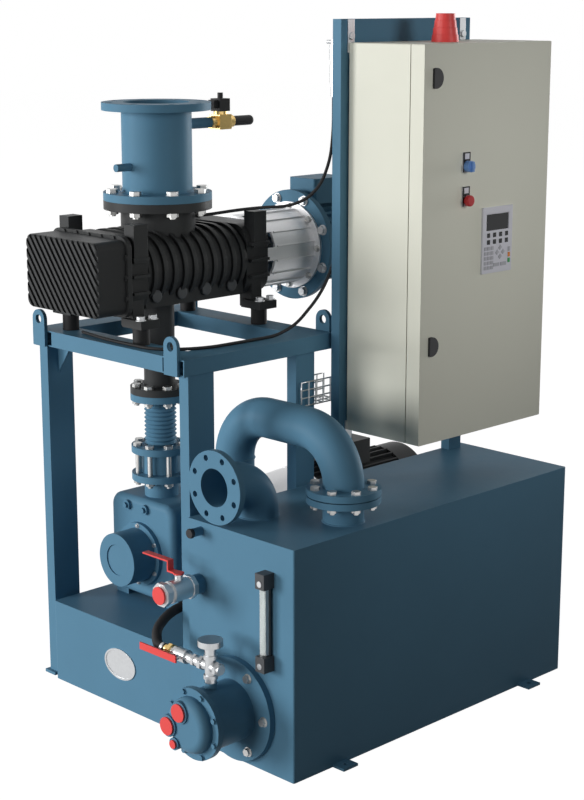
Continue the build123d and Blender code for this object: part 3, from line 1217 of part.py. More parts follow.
def flange_bolts():
    """Every bolt of the flanged joints."""
    bolts = []
    suction = bolt_circle(BOLT_M20, SUCTION_FLANGE_THICKNESS + BLOWER_FLANGE_THICKNESS, SUCTION_PCD, SUCTION_BOLTS)
    bolts += [Pos(0, 0, SUCTION_JOINT_Z - BLOWER_FLANGE_THICKNESS) * one for one in suction]
    thick = STACK_FLANGE_THICKNESS
    upper = bolt_circle(BOLT_M16, 2 * thick, STACK_PCD, STACK_BOLTS)
    bolts += [Pos(0, STACK_Y, STACK_TOP_JOINT - thick) * one for one in upper]
    lower = bolt_circle(BOLT_M16, 2 * thick + CHECK_BODY_LENGTH, STACK_PCD, STACK_BOLTS)
    bolts += [Pos(0, STACK_Y, CHECK_BOTTOM - thick) * one for one in lower]
    grip = 2 * DN100_FLANGE_THICKNESS + GASKET
    tank = bolt_circle(BOLT_M16, grip, DN100_PCD, DN100_BOLTS)
    base = OVER_FLANGE_TOP - grip
    bolts += [Pos(OVER_PIPE_X[1], OVER_PIPE_Y, base) * one for one in tank]
    return bolts


def cooler_shell():
    """Cooler body that passes through a flanged plate into the tank."""
    plate_y = FRONT - COOLER_PLATE_THICKNESS
    shell_y = plate_y - COOLER_SHELL_LENGTH
    body = rod_y(COOLER_X, (plate_y, FRONT), COOLER_Z, COOLER_PLATE_RADIUS)
    body += rod_y(COOLER_X, (shell_y, plate_y), COOLER_Z, COOLER_SHELL_RADIUS)
    body += rod_y(COOLER_X, (shell_y, shell_y + COOLER_FLANGE_THICKNESS), COOLER_Z, COOLER_FLANGE_RADIUS)
    return body + rod_z(COOLER_X, TEE_Y, (COOLER_Z + 60, TEE_Z - 48), FITTING_RADIUS + 2)


def cooler_head():
    """Domed water head with its two water ports."""
    joint = FRONT - COOLER_PLATE_THICKNESS - COOLER_SHELL_LENGTH
    back = (joint - COOLER_FLANGE_THICKNESS, joint)
    body = rod_y(COOLER_X, back, COOLER_Z, COOLER_FLANGE_RADIUS)
    dome = rod_y(COOLER_X, (back[0] - COOLER_DOME_DEPTH, back[0]), COOLER_Z, COOLER_DOME_RADIUS)
    dome = fillet(dome.edges().group_by(Axis.Y)[0], 26.0)
    body += dome
    for x, z, radius, reach in water_ports():
        body += rod_y(x, (back[0] - reach, back[0]), z, radius + 6)
    return body


def water_ports():
    """Centre, radius and reach of each port on the water head."""
    return (
        (COOLER_X - 16, COOLER_Z + 42, 27.0, 40.0),
        (COOLER_X - 66, COOLER_Z - 13, 27.0, 40.0),
        (COOLER_X - 40, COOLER_Z - 61, 13.0, 40.0),
    )


def red_caps():
    """Plastic caps on the open water and drain ports."""
    joint = FRONT - COOLER_PLATE_THICKNESS - COOLER_SHELL_LENGTH - COOLER_FLANGE_THICKNESS
    caps = [rod_y(x, (joint - reach - 6, joint - reach), z, radius) for x, z, radius, reach in water_ports()]
    caps.append(rod_y(DRAIN_X, (FRONT - DRAIN_REACH - 6, FRONT - DRAIN_REACH), DRAIN_Z, 27.0))
    return caps


def drain_valve():
    """Ball valve on the drain stub."""
    body = rod_y(DRAIN_X, (FRONT - DRAIN_REACH, FRONT - 30), DRAIN_Z, DRAIN_RADIUS - 6)
    body += rod_y(DRAIN_X, (DRAIN_STEM_Y - 36, DRAIN_STEM_Y + 36), DRAIN_Z, DRAIN_RADIUS)
    body += rod_z(DRAIN_X, DRAIN_STEM_Y, (DRAIN_Z, DRAIN_Z + 48), 12.0)
    return body - rod_z(DRAIN_X, DRAIN_STEM_Y, (DRAIN_Z + 20, DRAIN_Z + 48), 6.0 + RUNNING_CLEARANCE)


def drain_lever():
    """Lever with a joggle, on the valve stem."""
    top = DRAIN_Z + 48.3
    body = rod_z(DRAIN_X, DRAIN_STEM_Y, (DRAIN_Z + 22, top + LEVER_THICKNESS), 6.0)
    body += rod_z(DRAIN_X, DRAIN_STEM_Y, (top, top + LEVER_THICKNESS), 16.0)
    half = LEVER_WIDTH / 2
    y = (DRAIN_STEM_Y - half, DRAIN_STEM_Y + half)
    body += block((DRAIN_X - 35, DRAIN_X), y, (top, top + LEVER_THICKNESS))
    body += block((DRAIN_X - 40, DRAIN_X - 35), y, (top, top + 30))
    return body + block((DRAIN_X - LEVER_LENGTH, DRAIN_X - 35), y, (top + 30, top + 30 + LEVER_THICKNESS))


def water_fittings():
    """Tee, vent cap and small ball valve on the cooler outlet."""
    body = rod_z(COOLER_X, TEE_Y, (TEE_Z - 48, VENT_CAP_Z - 10), FITTING_RADIUS)
    body += rod_x((HOSE_TAIL_X, COOLER_X + 45), TEE_Y, TEE_Z, FITTING_RADIUS - 2)
    body += rod_x((WATER_VALVE_X - 22, WATER_VALVE_X + 22), TEE_Y, TEE_Z, FITTING_RADIUS + 4)
    body += rod_z(COOLER_X, TEE_Y, (VENT_CAP_Z - 10, VENT_CAP_Z + 8), VENT_CAP_RADIUS)
    body += rod_y(WATER_VALVE_X, (TEE_Y - 34, TEE_Y), TEE_Z, 8.0)
    return body - rod_y(WATER_VALVE_X, (TEE_Y - 34, TEE_Y - 14), TEE_Z, 4.0 + RUNNING_CLEARANCE)


def water_lever():
    face = TEE_Y - 34.3
    body = rod_y(WATER_VALVE_X, (face - LEVER_THICKNESS, TEE_Y - 15), TEE_Z, 4.0)
    z = (TEE_Z - LEVER_WIDTH / 2, TEE_Z + LEVER_WIDTH / 2)
    return body + block((WATER_VALVE_X - LEVER_LENGTH, WATER_VALVE_X + 12), (face - LEVER_THICKNESS, face), z)


def hose_tail():
    """Brass barbed tail with a hexagon."""
    hexagon = Rot(0, 90, 0) * extrude(RegularPolygon(19, 6, major_radius=False), 14)
    body = Pos(HOSE_TAIL_X - 14, TEE_Y, TEE_Z) * hexagon
    return body + rod_x((HOSE_TAIL_X - 28, HOSE_TAIL_X - 14), TEE_Y, TEE_Z, HOSE_RADIUS)


def tube(points, radius, longest_share=0.45):
    """Round tube along straight runs joined by the largest tangent arcs."""
    radii = []
    vectors = [Vector(*point) for point in points]
    for before, corner, after in zip(vectors, vectors[1:], vectors[2:]):
        run_in, run_out = corner - before, after - corner
        turn = radians(run_in.get_angle(run_out))
        radii.append(longest_share * min(run_in.length, run_out.length) / (sin(turn / 2) / cos(turn / 2)))
    print("tube radius", radius, "bend radii", [round(value, 1) for value in radii])
    path = FilletPolyline(*points, radius=radii)
    body = sweep(Plane(origin=path @ 0, z_dir=path % 0) * Circle(radius), path=path)
    print("  volume", round(body.volume), "section times length", round(pi * radius**2 * path.length))
    return body


def service_hose():
    """Rubber hose from the cooler back to the pump."""
    points = [
        (HOSE_TAIL_X - 28, TEE_Y, TEE_Z),
        (HOSE_TAIL_X - 70, TEE_Y, TEE_Z),
        (HOSE_TAIL_X - 110, TEE_Y + 30, TEE_Z + 30),
        (HOSE_TAIL_X - 125, TEE_Y + 90, TEE_Z + 60),
        (HOSE_TAIL_X - 130, TEE_Y + 160, TEE_Z + 70),
        (HOSE_TAIL_X - 150, TEE_Y + 240, TEE_Z + 62),
        (HOSE_TAIL_X - 215, TEE_Y + 290, TEE_Z + 50),
        (HOSE_TAIL_X - 290, TEE_Y + 305, TEE_Z + 45),
        (PUMP_HALF_WIDTH + 0.2, TEE_Y + 308, TEE_Z + 44),
    ]
    return tube(points, HOSE_RADIUS)


def level_gauge():
    """Gauge blocks and back rail on the tank front."""
    x = (GAUGE_X - GAUGE_WIDTH / 2, GAUGE_X + GAUGE_WIDTH / 2)
    y = (FRONT - GAUGE_DEPTH, FRONT)
    top = GAUGE_BOTTOM + GAUGE_HEIGHT
    body = block((x[0] + 6, x[1] - 6), (FRONT - 12, FRONT - 6), (GAUGE_BOTTOM, top))
    for low in (GAUGE_BOTTOM, top - GAUGE_END):
        body += block(x, y, (low, low + GAUGE_END))
    return body


def gauge_glass():
    """Clear tube between the gauge blocks."""
    low, high = GAUGE_BOTTOM + GAUGE_END, GAUGE_BOTTOM + GAUGE_HEIGHT - GAUGE_END
    y = FRONT - GAUGE_DEPTH + GAUGE_TUBE_RADIUS + 4
    return rod_z(GAUGE_X, y, (low, high), GAUGE_TUBE_RADIUS)


def regulator():
    """Vacuum switch with its fittings, clamped to the front post."""
    x, y = TANK_LEFT - 15, PORTAL_FRONT + 20
    top = 2068.0
    body = rod_z(x, y, (top - 170, top), 9.0)
    body += rod_z(x, y, (top - 60, top - 15), 14.0)
    body += rod_z(x, y, (top - 128, top - 75), 12.5)
    body += rod_x((x - 26, x + 15), y, top - 6, 6.0)
    return body


def vacuum_line():
    """Control line from the switch down to the blower's suction neck."""
    x, y = TANK_LEFT - 15, PORTAL_FRONT + 20
    points = [
        (x, y, 1897.8),
        (x, y, 1800),
        (x - 12, y, 1710),
        (x - 45, y - 6, 1630),
        (x - 95, y - 20, 1580),
        (x - 150, y - 50, 1556),
        (x - 210, y - 96, 1552),
        (x - 265, y - 150, 1544),
        (112, 112, 1530),
        (83.8, 83.8, 1526),
    ]
    return [tube(points, LINE_RADIUS), sensor_cable()]


def sensor_cable():
    """Cable that comes down the front post and lies along the frame to the gear end."""
    z = FRAME_TOP + LINE_RADIUS
    x = TANK_LEFT - LINE_RADIUS
    points = [
        (x, PORTAL_FRONT + 30, 1560),
        (x, PORTAL_FRONT + 30, 1420),
        (x - 12, PORTAL_FRONT - 24, 1300),
        (x - 50, 215, 1205),
        (x - 70, 150, z),
        (x - 72, 40, z),
        (x - 78, -140, z),
        (290, -262, z),
        (60, -264, z),
        (-89, -240, z),
    ]
    return tube(points, LINE_RADIUS)


def save(name, shape):
    """Writes one sub-part; a list becomes a group of separate solids."""
    if isinstance(shape, list):
        shape = Compound(children=[solid for item in shape for solid in item.solids()])
    export_step(shape, f"parts/{name}.step")


PARTS = {
    "plinth": plinth(),
    "separator_tank": separator_tank(),
    "frame_legs": frame_legs(),
    "frame_beams": frame_beams(),
    "frame_gussets": frame_gussets(),
    "lifting_lugs": lifting_lugs(),
    "portal": portal(),
    "cabinet_brackets": cabinet_brackets(),
    "cabinet_body": cabinet_body(),
    "mounting_plate": mounting_plate(),
    "control_gear": control_gear(),
    "beacon": beacon(),
    "cabinet_door": cabinet_door(),
    "operator_panel": operator_panel(),
    "latch_lower": door_latch(LATCH_HEIGHTS[0]),
    "latch_upper": door_latch(LATCH_HEIGHTS[1]),
    "selector_knob": selector_knob(),
    "stop_button": stop_button(),
    "blower_casing": blower_casing(),
    "gear_end_plate": gear_end_plate(),
    "motor_end_plate": motor_end_plate(),
    "gear_cover": gear_cover(),
    "blower_bearings": blower_bearings(),
    "blower_feet": blower_feet(),
    "drive_rotor": drive_rotor(),
    "driven_rotor": driven_rotor(),
    "drive_gear": timing_gear(ROTOR_X[0]),
    "driven_gear": timing_gear(ROTOR_X[1]),
    "inlet_pipe": inlet_pipe(),
    "bleed_valve": bleed_valve(),
    "bleed_filter": bleed_filter(),
    "bell_housing": bell_housing(),
    "blower_motor": blower_motor(),
    "motor_terminal_box": motor_terminal_box(),
    "motor_fan_cowl": motor_fan_cowl(),
    "motor_coupling": motor_coupling(),
    "bellows": bellows(),
    "check_valve_body": check_valve_body(),
    "check_disc": check_disc(),
    "backing_casing": backing_casing(),
    "backing_cover": backing_cover(),
    "backing_impeller": backing_impeller(),
    "backing_bell": backing_bell(),
    "backing_motor": backing_motor(),
    "discharge_pipe": discharge_pipe(),
    "discharge_elbow": discharge_elbow(),
    "flange_bolts": flange_bolts(),
    "cooler_shell": cooler_shell(),
    "cooler_head": cooler_head(),
    "red_caps": red_caps(),
    "drain_valve": drain_valve(),
    "drain_lever": drain_lever(),
    "water_fittings": water_fittings(),
    "water_lever": water_lever(),
    "hose_tail": hose_tail(),
    "service_hose": service_hose(),
    "level_gauge": level_gauge(),
    "gauge_glass": gauge_glass(),
    "regulator": regulator(),
    "vacuum_line": vacuum_line(),
}

for node_name, node_shape in PARTS.items():
    save(node_name, node_shape)
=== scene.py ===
"""Studio scene of a skid-mounted vacuum pumping set with a roots blower and a liquid ring pump.

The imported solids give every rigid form. This script finishes their surfaces, adds the small
fasteners, keys, glands and wire work, and sets the floor, the lamps and the camera.
"""

import logging
import math
from dataclasses import dataclass, field
from enum import Enum

import bpy
from mathutils import Matrix, Vector


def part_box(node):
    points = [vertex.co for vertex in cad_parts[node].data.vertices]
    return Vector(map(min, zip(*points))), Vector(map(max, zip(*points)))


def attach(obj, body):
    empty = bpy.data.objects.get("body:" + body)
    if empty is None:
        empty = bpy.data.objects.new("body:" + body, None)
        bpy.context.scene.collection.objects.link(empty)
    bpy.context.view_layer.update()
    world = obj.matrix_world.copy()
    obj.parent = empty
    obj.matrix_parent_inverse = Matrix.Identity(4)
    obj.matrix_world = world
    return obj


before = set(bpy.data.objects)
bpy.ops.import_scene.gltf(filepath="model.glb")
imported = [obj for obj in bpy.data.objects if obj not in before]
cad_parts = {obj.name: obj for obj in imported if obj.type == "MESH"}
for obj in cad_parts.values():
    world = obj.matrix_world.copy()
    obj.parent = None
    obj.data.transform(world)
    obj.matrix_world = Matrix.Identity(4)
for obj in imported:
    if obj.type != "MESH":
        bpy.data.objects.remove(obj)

LOG = logging.getLogger("vacuum_set")
SKID = "skid"
DOOR = "door"
Colour = tuple[float, float, float]
Point = tuple[float, float, float]
Socket = bpy.types.NodeSocket
HEAD_CENTRE = 0.72
WASHER_RADIUS = 1.25
WASHER_HEIGHT = 0.22
WASHER_SIDES = 24
CORE_SIDES = 40
ROUND_SIDES = 32


class Finish(Enum):
    """Named finishes of the pumping set."""

    BLUE = "blue_paint"
    BLACK = "black_paint"
    CREAM = "cream_powder_coat"
    DARK_PLASTIC = "dark_plastic"
    GREY_PLASTIC = "grey_plastic"
    RED = "red_plastic"
    BLUE_KNOB = "blue_plastic"
    ZINC = "zinc_plated_steel"
    GALVANISED = "galvanised_sheet"
    ALLOY = "cast_alloy"
    IRON = "machined_iron"
    STEEL = "ground_steel"
    STAINLESS = "stainless_steel"
    BRASS = "yellow_brass"
    RUBBER = "black_rubber"
    CLEAR = "clear_tube"
    WHITE = "white_plate"
    DISPLAY = "dark_display"
    WOVEN_WIRE = "bright_wire"
    PANEL = "pale_panel"
    KEY_GREY = "grey_keys"
    ORANGE = "orange_key"
    GREEN = "green_key"
    DARK_RED = "dark_red_plastic"
    PLUG = "grey_plug"


class Graph:
    """Adds and links the nodes of one shader."""

    def __init__(self, material: bpy.types.Material) -> None:
        """Empties the material's tree and gives it an output."""
        material.use_nodes = True
        self.tree = material.node_tree
        self.tree.nodes.clear()
        self.output = self.node("ShaderNodeOutputMaterial")
        self.coordinates = self.node("ShaderNodeTexCoord").outputs["Object"]

    def node(self, kind: str, **settings: object) -> bpy.types.Node:
        """Adds a node.

        Args:
            kind: Blender's name of the node type.
            settings: properties of the node.

        Returns:
            The new node.
        """
        made = self.tree.nodes.new(kind)
        for name, value in settings.items():
            setattr(made, name, value)
        return made

    def link(self, source: Socket, target: Socket) -> None:
        """Joins two sockets."""
        self.tree.links.new(source, target)

    def noise(self, scale: float, detail: float = 3.0, stretch: Vector | None = None) -> Socket:
        """Adds a noise pattern on the object's own coordinates.

        Args:
            scale: waves to the metre.
            detail: octaves.
            stretch: scale of each axis before the pattern is read.

        Returns:
            The pattern's value, from 0 to 1.
        """
        source = self.coordinates
        if stretch is not None:
            mapping = self.node("ShaderNodeMapping")
            mapping.inputs["Scale"].default_value = stretch
            self.link(source, mapping.inputs["Vector"])
            source = mapping.outputs["Vector"]
        pattern = self.node("ShaderNodeTexNoise")
        pattern.inputs["Scale"].default_value = scale
        pattern.inputs["Detail"].default_value = detail
        self.link(source, pattern.inputs["Vector"])
        return pattern.outputs["Fac"]

    def spread(self, value: Socket, low: float, high: float) -> Socket:
        """Maps a value from 0 to 1 onto a range.

        Args:
            value: the value.
            low: start of the range.
            high: end of the range.

        Returns:
            The mapped value.
        """
        remap = self.node("ShaderNodeMapRange")
        remap.inputs["To Min"].default_value = low
        remap.inputs["To Max"].default_value = high
        self.link(value, remap.inputs["Value"])
        return remap.outputs["Result"]

    def shade(self, value: Socket, dark: Colour, light: Colour) -> Socket:
        """Mixes two colours.

        Args:
            value: share of the light colour.
            dark: first colour.
            light: second colour.

        Returns:
            The mixed colour.
        """
        mix = self.node("ShaderNodeMix", data_type="RGBA")
        self.link(value, mix.inputs["Factor"])
        mix.inputs[6].default_value = (*dark, 1.0)
        mix.inputs[7].default_value = (*light, 1.0)
        return mix.outputs[2]

    def relief(self, value: Socket, depth: float, edge: float) -> Socket:
        """Turns a value into a surface relief over softened edges.

        Args:
            value: height pattern, from 0 to 1.
            depth: height of the pattern, in metres.
            edge: radius to which sharp edges are softened, in metres.

        Returns:
            The normal to give to the shader.
        """
        bump = self.node("ShaderNodeBump")
        bump.inputs["Distance"].default_value = depth
        self.link(value, bump.inputs["Height"])
        if edge:
            bevel = self.node("ShaderNodeBevel", samples=4)
            bevel.inputs["Radius"].default_value = edge
            self.link(bevel.outputs["Normal"], bump.inputs["Normal"])
        return bump.outputs["Normal"]


def scaled(colour: Colour, share: float) -> Colour:
    """Returns the colour multiplied by a share."""
    return tuple(min(1.0, part * share) for part in colour)


def shades(colour: Colour, tone: float) -> tuple[Colour, Colour]:
    """Returns a colour's darker and lighter shade."""
    return scaled(colour, 1 - tone), scaled(colour, 1 + tone)


class Surface:
    """A finish that builds its own material."""

    def make(self, name: str) -> bpy.types.Material:
        """Builds the material.

        Args:
            name: name of the material.

        Returns:
            The finished material.
        """
        material = bpy.data.materials.new(name)
        graph = Graph(material)
        shader = graph.node("ShaderNodeBsdfPrincipled")
        self.fill(graph, shader)
        graph.link(shader.outputs["BSDF"], graph.output.inputs["Surface"])
        return material


@dataclass(frozen=True)
class Coating(Surface):
    """A painted, moulded or rubber surface."""

    colour: Colour
    roughness: float
    spread: float = 0.06
    tone: float = 0.06
    cloud_scale: float = 5.0
    wear_ratio: float = 7.0
    grain_scale: float = 700.0
    grain_depth: float = 0.00006
    edge: float = 0.0015
    coat: float = 0.0
    gloss: float = 0.25

    def fill(self, graph: Graph, shader: bpy.types.Node) -> None:
        """Dresses the shader.

        Args:
            graph: nodes of the material.
            shader: its shader.
        """
        cloud = graph.noise(self.cloud_scale)
        colour = graph.shade(cloud, *shades(self.colour, self.tone))
        graph.link(colour, shader.inputs["Base Color"])
        wear = graph.noise(self.cloud_scale * self.wear_ratio, detail=5.0)
        graph.link(
            graph.spread(wear, self.roughness - self.spread, self.roughness + self.spread),
            shader.inputs["Roughness"],
        )
        shader.inputs["Coat Weight"].default_value = self.coat
        shader.inputs["Specular IOR Level"].default_value = self.gloss
        grain = graph.noise(self.grain_scale, detail=2.0)
        graph.link(graph.relief(grain, self.grain_depth, self.edge), shader.inputs["Normal"])


@dataclass(frozen=True)
class BareMetal(Surface):
    """A bare or plated metal surface with drawn streaks or a cast skin."""

    colour: Colour
    roughness: float
    spread: float = 0.08
    tone: float = 0.12
    streaks: Point = (1.0, 1.0, 1.0)
    pattern_scale: float = 160.0
    depth: float = 0.00004
    edge: float = 0.0008
    metallic: float = 1.0

    def fill(self, graph: Graph, shader: bpy.types.Node) -> None:
        """Dresses the shader.

        Args:
            graph: nodes of the material.
            shader: its shader.
        """
        shader.inputs["Metallic"].default_value = self.metallic
        pattern = graph.noise(self.pattern_scale, 4.0, stretch=Vector(self.streaks))
        colour = graph.shade(pattern, *shades(self.colour, self.tone))
        graph.link(colour, shader.inputs["Base Color"])
        graph.link(
            graph.spread(pattern, self.roughness - self.spread, self.roughness + self.spread),
            shader.inputs["Roughness"],
        )
        graph.link(graph.relief(pattern, self.depth, self.edge), shader.inputs["Normal"])


@dataclass(frozen=True)
class ClearTube(Surface):
    """Clear wall of the level gauge."""

    colour: Colour
    roughness: float = 0.06
    clearness: float = 0.75
    bending: float = 1.45
    ripple_scale: float = 60.0
    ripple_depth: float = 0.00003

    def fill(self, graph: Graph, shader: bpy.types.Node) -> None:
        """Dresses the shader.

        Args:
            graph: nodes of the material.
            shader: its shader.
        """
        shader.inputs["Base Color"].default_value = (*self.colour, 1.0)
        shader.inputs["Transmission Weight"].default_value = self.clearness
        shader.inputs["Roughness"].default_value = self.roughness
        shader.inputs["IOR"].default_value = self.bending
        ripple = graph.noise(self.ripple_scale)
        graph.link(graph.relief(ripple, self.ripple_depth, 0.0), shader.inputs["Normal"])


FINISHES: dict[Finish, Surface] = {
    Finish.BLUE: Coating((0.112, 0.255, 0.375), 0.46, gloss=0.07),
    Finish.BLACK: Coating(
        (0.050, 0.052, 0.053), 0.42, grain_scale=420.0, grain_depth=0.00018, edge=0.002, gloss=0.1
    ),
    Finish.CREAM: Coating((0.83, 0.83, 0.71), 0.46, tone=0.015, grain_scale=900.0, grain_depth=0.00008),
    Finish.DARK_PLASTIC: Coating((0.018, 0.018, 0.020), 0.5),
    Finish.GREY_PLASTIC: Coating((0.36, 0.37, 0.38), 0.5),
    Finish.RED: Coating((0.90, 0.085, 0.08), 0.38, tone=0.05),
    Finish.BLUE_KNOB: Coating((0.16, 0.33, 0.70), 0.36, coat=0.2),
    Finish.ZINC: BareMetal((0.50, 0.50, 0.49), 0.36),
    Finish.GALVANISED: BareMetal((0.60, 0.62, 0.63), 0.42, pattern_scale=45.0, tone=0.2),
    Finish.ALLOY: BareMetal(
        (0.84, 0.84, 0.85), 0.48, pattern_scale=500.0, depth=0.0001, edge=0.002, metallic=0.7
    ),
    Finish.IRON: BareMetal((0.30, 0.31, 0.32), 0.36, streaks=(1.0, 12.0, 1.0)),
    Finish.STEEL: BareMetal((0.52, 0.53, 0.55), 0.28, streaks=(1.0, 10.0, 1.0)),
    Finish.STAINLESS: BareMetal((0.52, 0.53, 0.54), 0.34, tone=0.08, depth=0.00003),
    Finish.BRASS: BareMetal((0.78, 0.55, 0.22), 0.32),
    Finish.RUBBER: Coating((0.014, 0.014, 0.015), 0.62, grain_scale=1100.0, edge=0.001),
    Finish.CLEAR: ClearTube((0.86, 0.92, 0.92)),
    Finish.WHITE: Coating((0.78, 0.79, 0.78), 0.4, tone=0.02),
    Finish.DISPLAY: Coating((0.012, 0.014, 0.016), 0.16, spread=0.02, grain_depth=0.0, edge=0.0),
    Finish.WOVEN_WIRE: BareMetal((0.60, 0.61, 0.62), 0.3, pattern_scale=300.0),
    Finish.PANEL: Coating((0.78, 0.78, 0.84), 0.42, tone=0.015),
    Finish.KEY_GREY: Coating((0.50, 0.50, 0.54), 0.45, tone=0.02),
    Finish.ORANGE: Coating((0.80, 0.26, 0.04), 0.4),
    Finish.GREEN: Coating((0.03, 0.36, 0.09), 0.4),
    Finish.DARK_RED: Coating((0.52, 0.03, 0.035), 0.34),
    Finish.PLUG: Coating((0.075, 0.080, 0.085), 0.5),
}

NODE_FINISHES: dict[Finish, tuple[str, ...]] = {
    Finish.BLUE: (
        "plinth", "separator_tank", "frame_legs", "frame_beams", "frame_gussets", "lifting_lugs",
        "portal", "bellows", "check_valve_body", "inlet_pipe", "blower_motor", "motor_terminal_box",
        "motor_fan_cowl", "backing_casing", "backing_cover", "discharge_pipe", "discharge_elbow",
        "cooler_shell", "cooler_head",
    ),
    Finish.BLACK: ("blower_casing", "gear_end_plate", "motor_end_plate", "gear_cover", "backing_motor"),
    Finish.CREAM: ("cabinet_body", "cabinet_door"),
    Finish.DARK_PLASTIC: ("latch_lower", "latch_upper", "bleed_filter"),
    Finish.PLUG: ("level_gauge",),
    Finish.GREY_PLASTIC: ("control_gear",),
    Finish.PANEL: ("operator_panel",),
    Finish.RED: ("beacon", "red_caps", "drain_lever", "water_lever"),
    Finish.DARK_RED: ("stop_button",),
    Finish.BLUE_KNOB: ("selector_knob",),
    Finish.ZINC: ("flange_bolts",),
    Finish.GALVANISED: ("mounting_plate",),
    Finish.ALLOY: ("bell_housing", "backing_bell"),
    Finish.IRON: ("drive_rotor", "driven_rotor", "backing_impeller"),
    Finish.STEEL: ("drive_gear", "driven_gear", "motor_coupling", "blower_bearings"),
    Finish.STAINLESS: ("cabinet_brackets", "check_disc", "drain_valve", "water_fittings", "regulator"),
    Finish.BRASS: ("bleed_valve", "hose_tail"),
    Finish.RUBBER: ("blower_feet", "service_hose", "vacuum_line"),
    Finish.CLEAR: ("gauge_glass",),
}


class Palette:
    """Makes each finish once and hands it out."""

    def __init__(self) -> None:
        """Starts with no material made."""
        self._made: dict[Finish, bpy.types.Material] = {}

    def get(self, finish: Finish) -> bpy.types.Material:
        """Returns the material of a finish."""
        if finish not in self._made:
            self._made[finish] = FINISHES[finish].make(finish.value)
        return self._made[finish]

    def dress(self, node: str, finish: Finish) -> None:
        """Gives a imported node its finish.

        Args:
            node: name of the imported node.
            finish: finish to give it.
        """
        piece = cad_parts[node]
        if not piece.material_slots:
            piece.data.materials.append(self.get(finish))
        for slot in piece.material_slots:
            slot.material = self.get(finish)


class Pattern:
    """Builds one Geometry Nodes tree and applies it to a new piece."""

    def __init__(self, name: str) -> None:
        """Starts an empty tree with a geometry output."""
        self.tree = bpy.data.node_groups.new(name, "GeometryNodeTree")
        self.tree.interface.new_socket("Geometry", in_out="OUTPUT", socket_type="NodeSocketGeometry")
        self.input = self.tree.nodes.new("NodeGroupInput")
        self.output = self.tree.nodes.new("NodeGroupOutput")
        self.sockets: dict[str, str] = {}
        self.values: dict[str, float] = {}

    def size(self, name: str, value: float, kind: str = "NodeSocketFloat") -> Socket:
        """Adds a named size to the tree.

        Args:
            name: name of the size.
            value: its value on this piece.
            kind: socket type.

        Returns:
            The socket that carries the size inside the tree.
        """
        made = self.tree.interface.new_socket(name, in_out="INPUT", socket_type=kind)
        self.sockets[name] = made.identifier
        self.values[name] = value
        return self.input.outputs[name]

    def node(
        self, kind: str, links: dict[str, object] | None = None, **settings: object
    ) -> bpy.types.Node:
        """Adds a node.

        Args:
            kind: Blender's name of the node type.
            links: input name to a socket to join, or to a plain value.
            settings: properties of the node.

        Returns:
            The new node.
        """
        made = self.tree.nodes.new(kind)
        for name, value in settings.items():
            setattr(made, name, value)
        for name, value in (links or {}).items():
            if isinstance(value, Socket):
                self.tree.links.new(value, made.inputs[name])
            else:
                made.inputs[name].default_value = value
        return made

    def times(self, value: Socket, share: object) -> Socket:
        """Multiplies a value by a plain share or by another value."""
        return self.node("ShaderNodeMath", {0: value, 1: share}, operation="MULTIPLY").outputs[0]

    def cylinder(self, sides: object, radius: Socket, depth: Socket) -> Socket:
        """Adds a cylinder about the origin."""
        links = {"Vertices": sides, "Radius": radius, "Depth": depth}
        return self.node("GeometryNodeMeshCylinder", links).outputs["Mesh"]

    def circle(self, steps: int, radius: object) -> Socket:
        """Adds a circle as a curve."""
        links = {"Resolution": steps, "Radius": radius}
        return self.node("GeometryNodeCurvePrimitiveCircle", links).outputs["Curve"]

    def sweep(self, curve: Socket, section: Socket) -> Socket:
        """Draws a section along a curve."""
        links = {"Curve": curve, "Profile Curve": section}
        return self.node("GeometryNodeCurveToMesh", links).outputs["Mesh"]

    def raised(self, geometry: Socket, height: object) -> Socket:
        """Moves a geometry up.

        Args:
            geometry: what to move.
            height: how far.

        Returns:
            The moved geometry.
        """
        shift = self.node("ShaderNodeCombineXYZ", {"Z": height}).outputs[0]
        links = {"Geometry": geometry, "Translation": shift}
        return self.node("GeometryNodeTransform", links).outputs[0]

    def copies(self, points: Socket, item: Socket) -> Socket:
        """Sets a copy of an item on every point."""
        links = {"Points": points, "Instance": item}
        return self.node("GeometryNodeInstanceOnPoints", links).outputs["Instances"]

    def join(self, *parts: Socket) -> Socket:
        """Joins geometries.

        Args:
            parts: the geometries.

        Returns:
            One geometry.
        """
        joined = self.node("GeometryNodeJoinGeometry")
        for part in parts:
            self.tree.links.new(part, joined.inputs[0])
        return joined.outputs[0]

    def hex_head(self, radius: Socket, height: Socket) -> Socket:
        """Adds a hexagon head on a washer, standing on Z = 0.

        Args:
            radius: radius of the head's corners.
            height: height of the head.

        Returns:
            The head's geometry.
        """
        head = self.raised(self.cylinder(6, radius, height), self.times(height, HEAD_CENTRE))
        thin = self.times(height, WASHER_HEIGHT)
        washer = self.cylinder(WASHER_SIDES, self.times(radius, WASHER_RADIUS), thin)
        return self.join(head, self.raised(washer, self.times(thin, 0.5)))

    def run(self, geometry: Socket, material: bpy.types.Material) -> bpy.types.Mesh:
        """Ends the tree, runs it and returns the result as a plain mesh.

        Args:
            geometry: last geometry of the tree.
            material: material of the result.

        Returns:
            The mesh, in the pattern's own frame.
        """
        solid = self.node("GeometryNodeRealizeInstances", {"Geometry": geometry}).outputs[0]
        dressed = self.node("GeometryNodeSetMaterial", {"Geometry": solid, "Material": material})
        self.tree.links.new(dressed.outputs[0], self.output.inputs[0])
        source = self.tree.name + "_source"
        holder = bpy.data.objects.new(source, bpy.data.meshes.new(source))
        bpy.context.scene.collection.objects.link(holder)
        modifier = holder.modifiers.new("pattern", "NODES")
        modifier.node_group = self.tree
        for label, identifier in self.sockets.items():
            modifier[identifier] = self.values[label]
        graph = bpy.context.evaluated_depsgraph_get()
        mesh = bpy.data.meshes.new_from_object(holder.evaluated_get(graph), depsgraph=graph)
        bpy.data.objects.remove(holder)
        return mesh


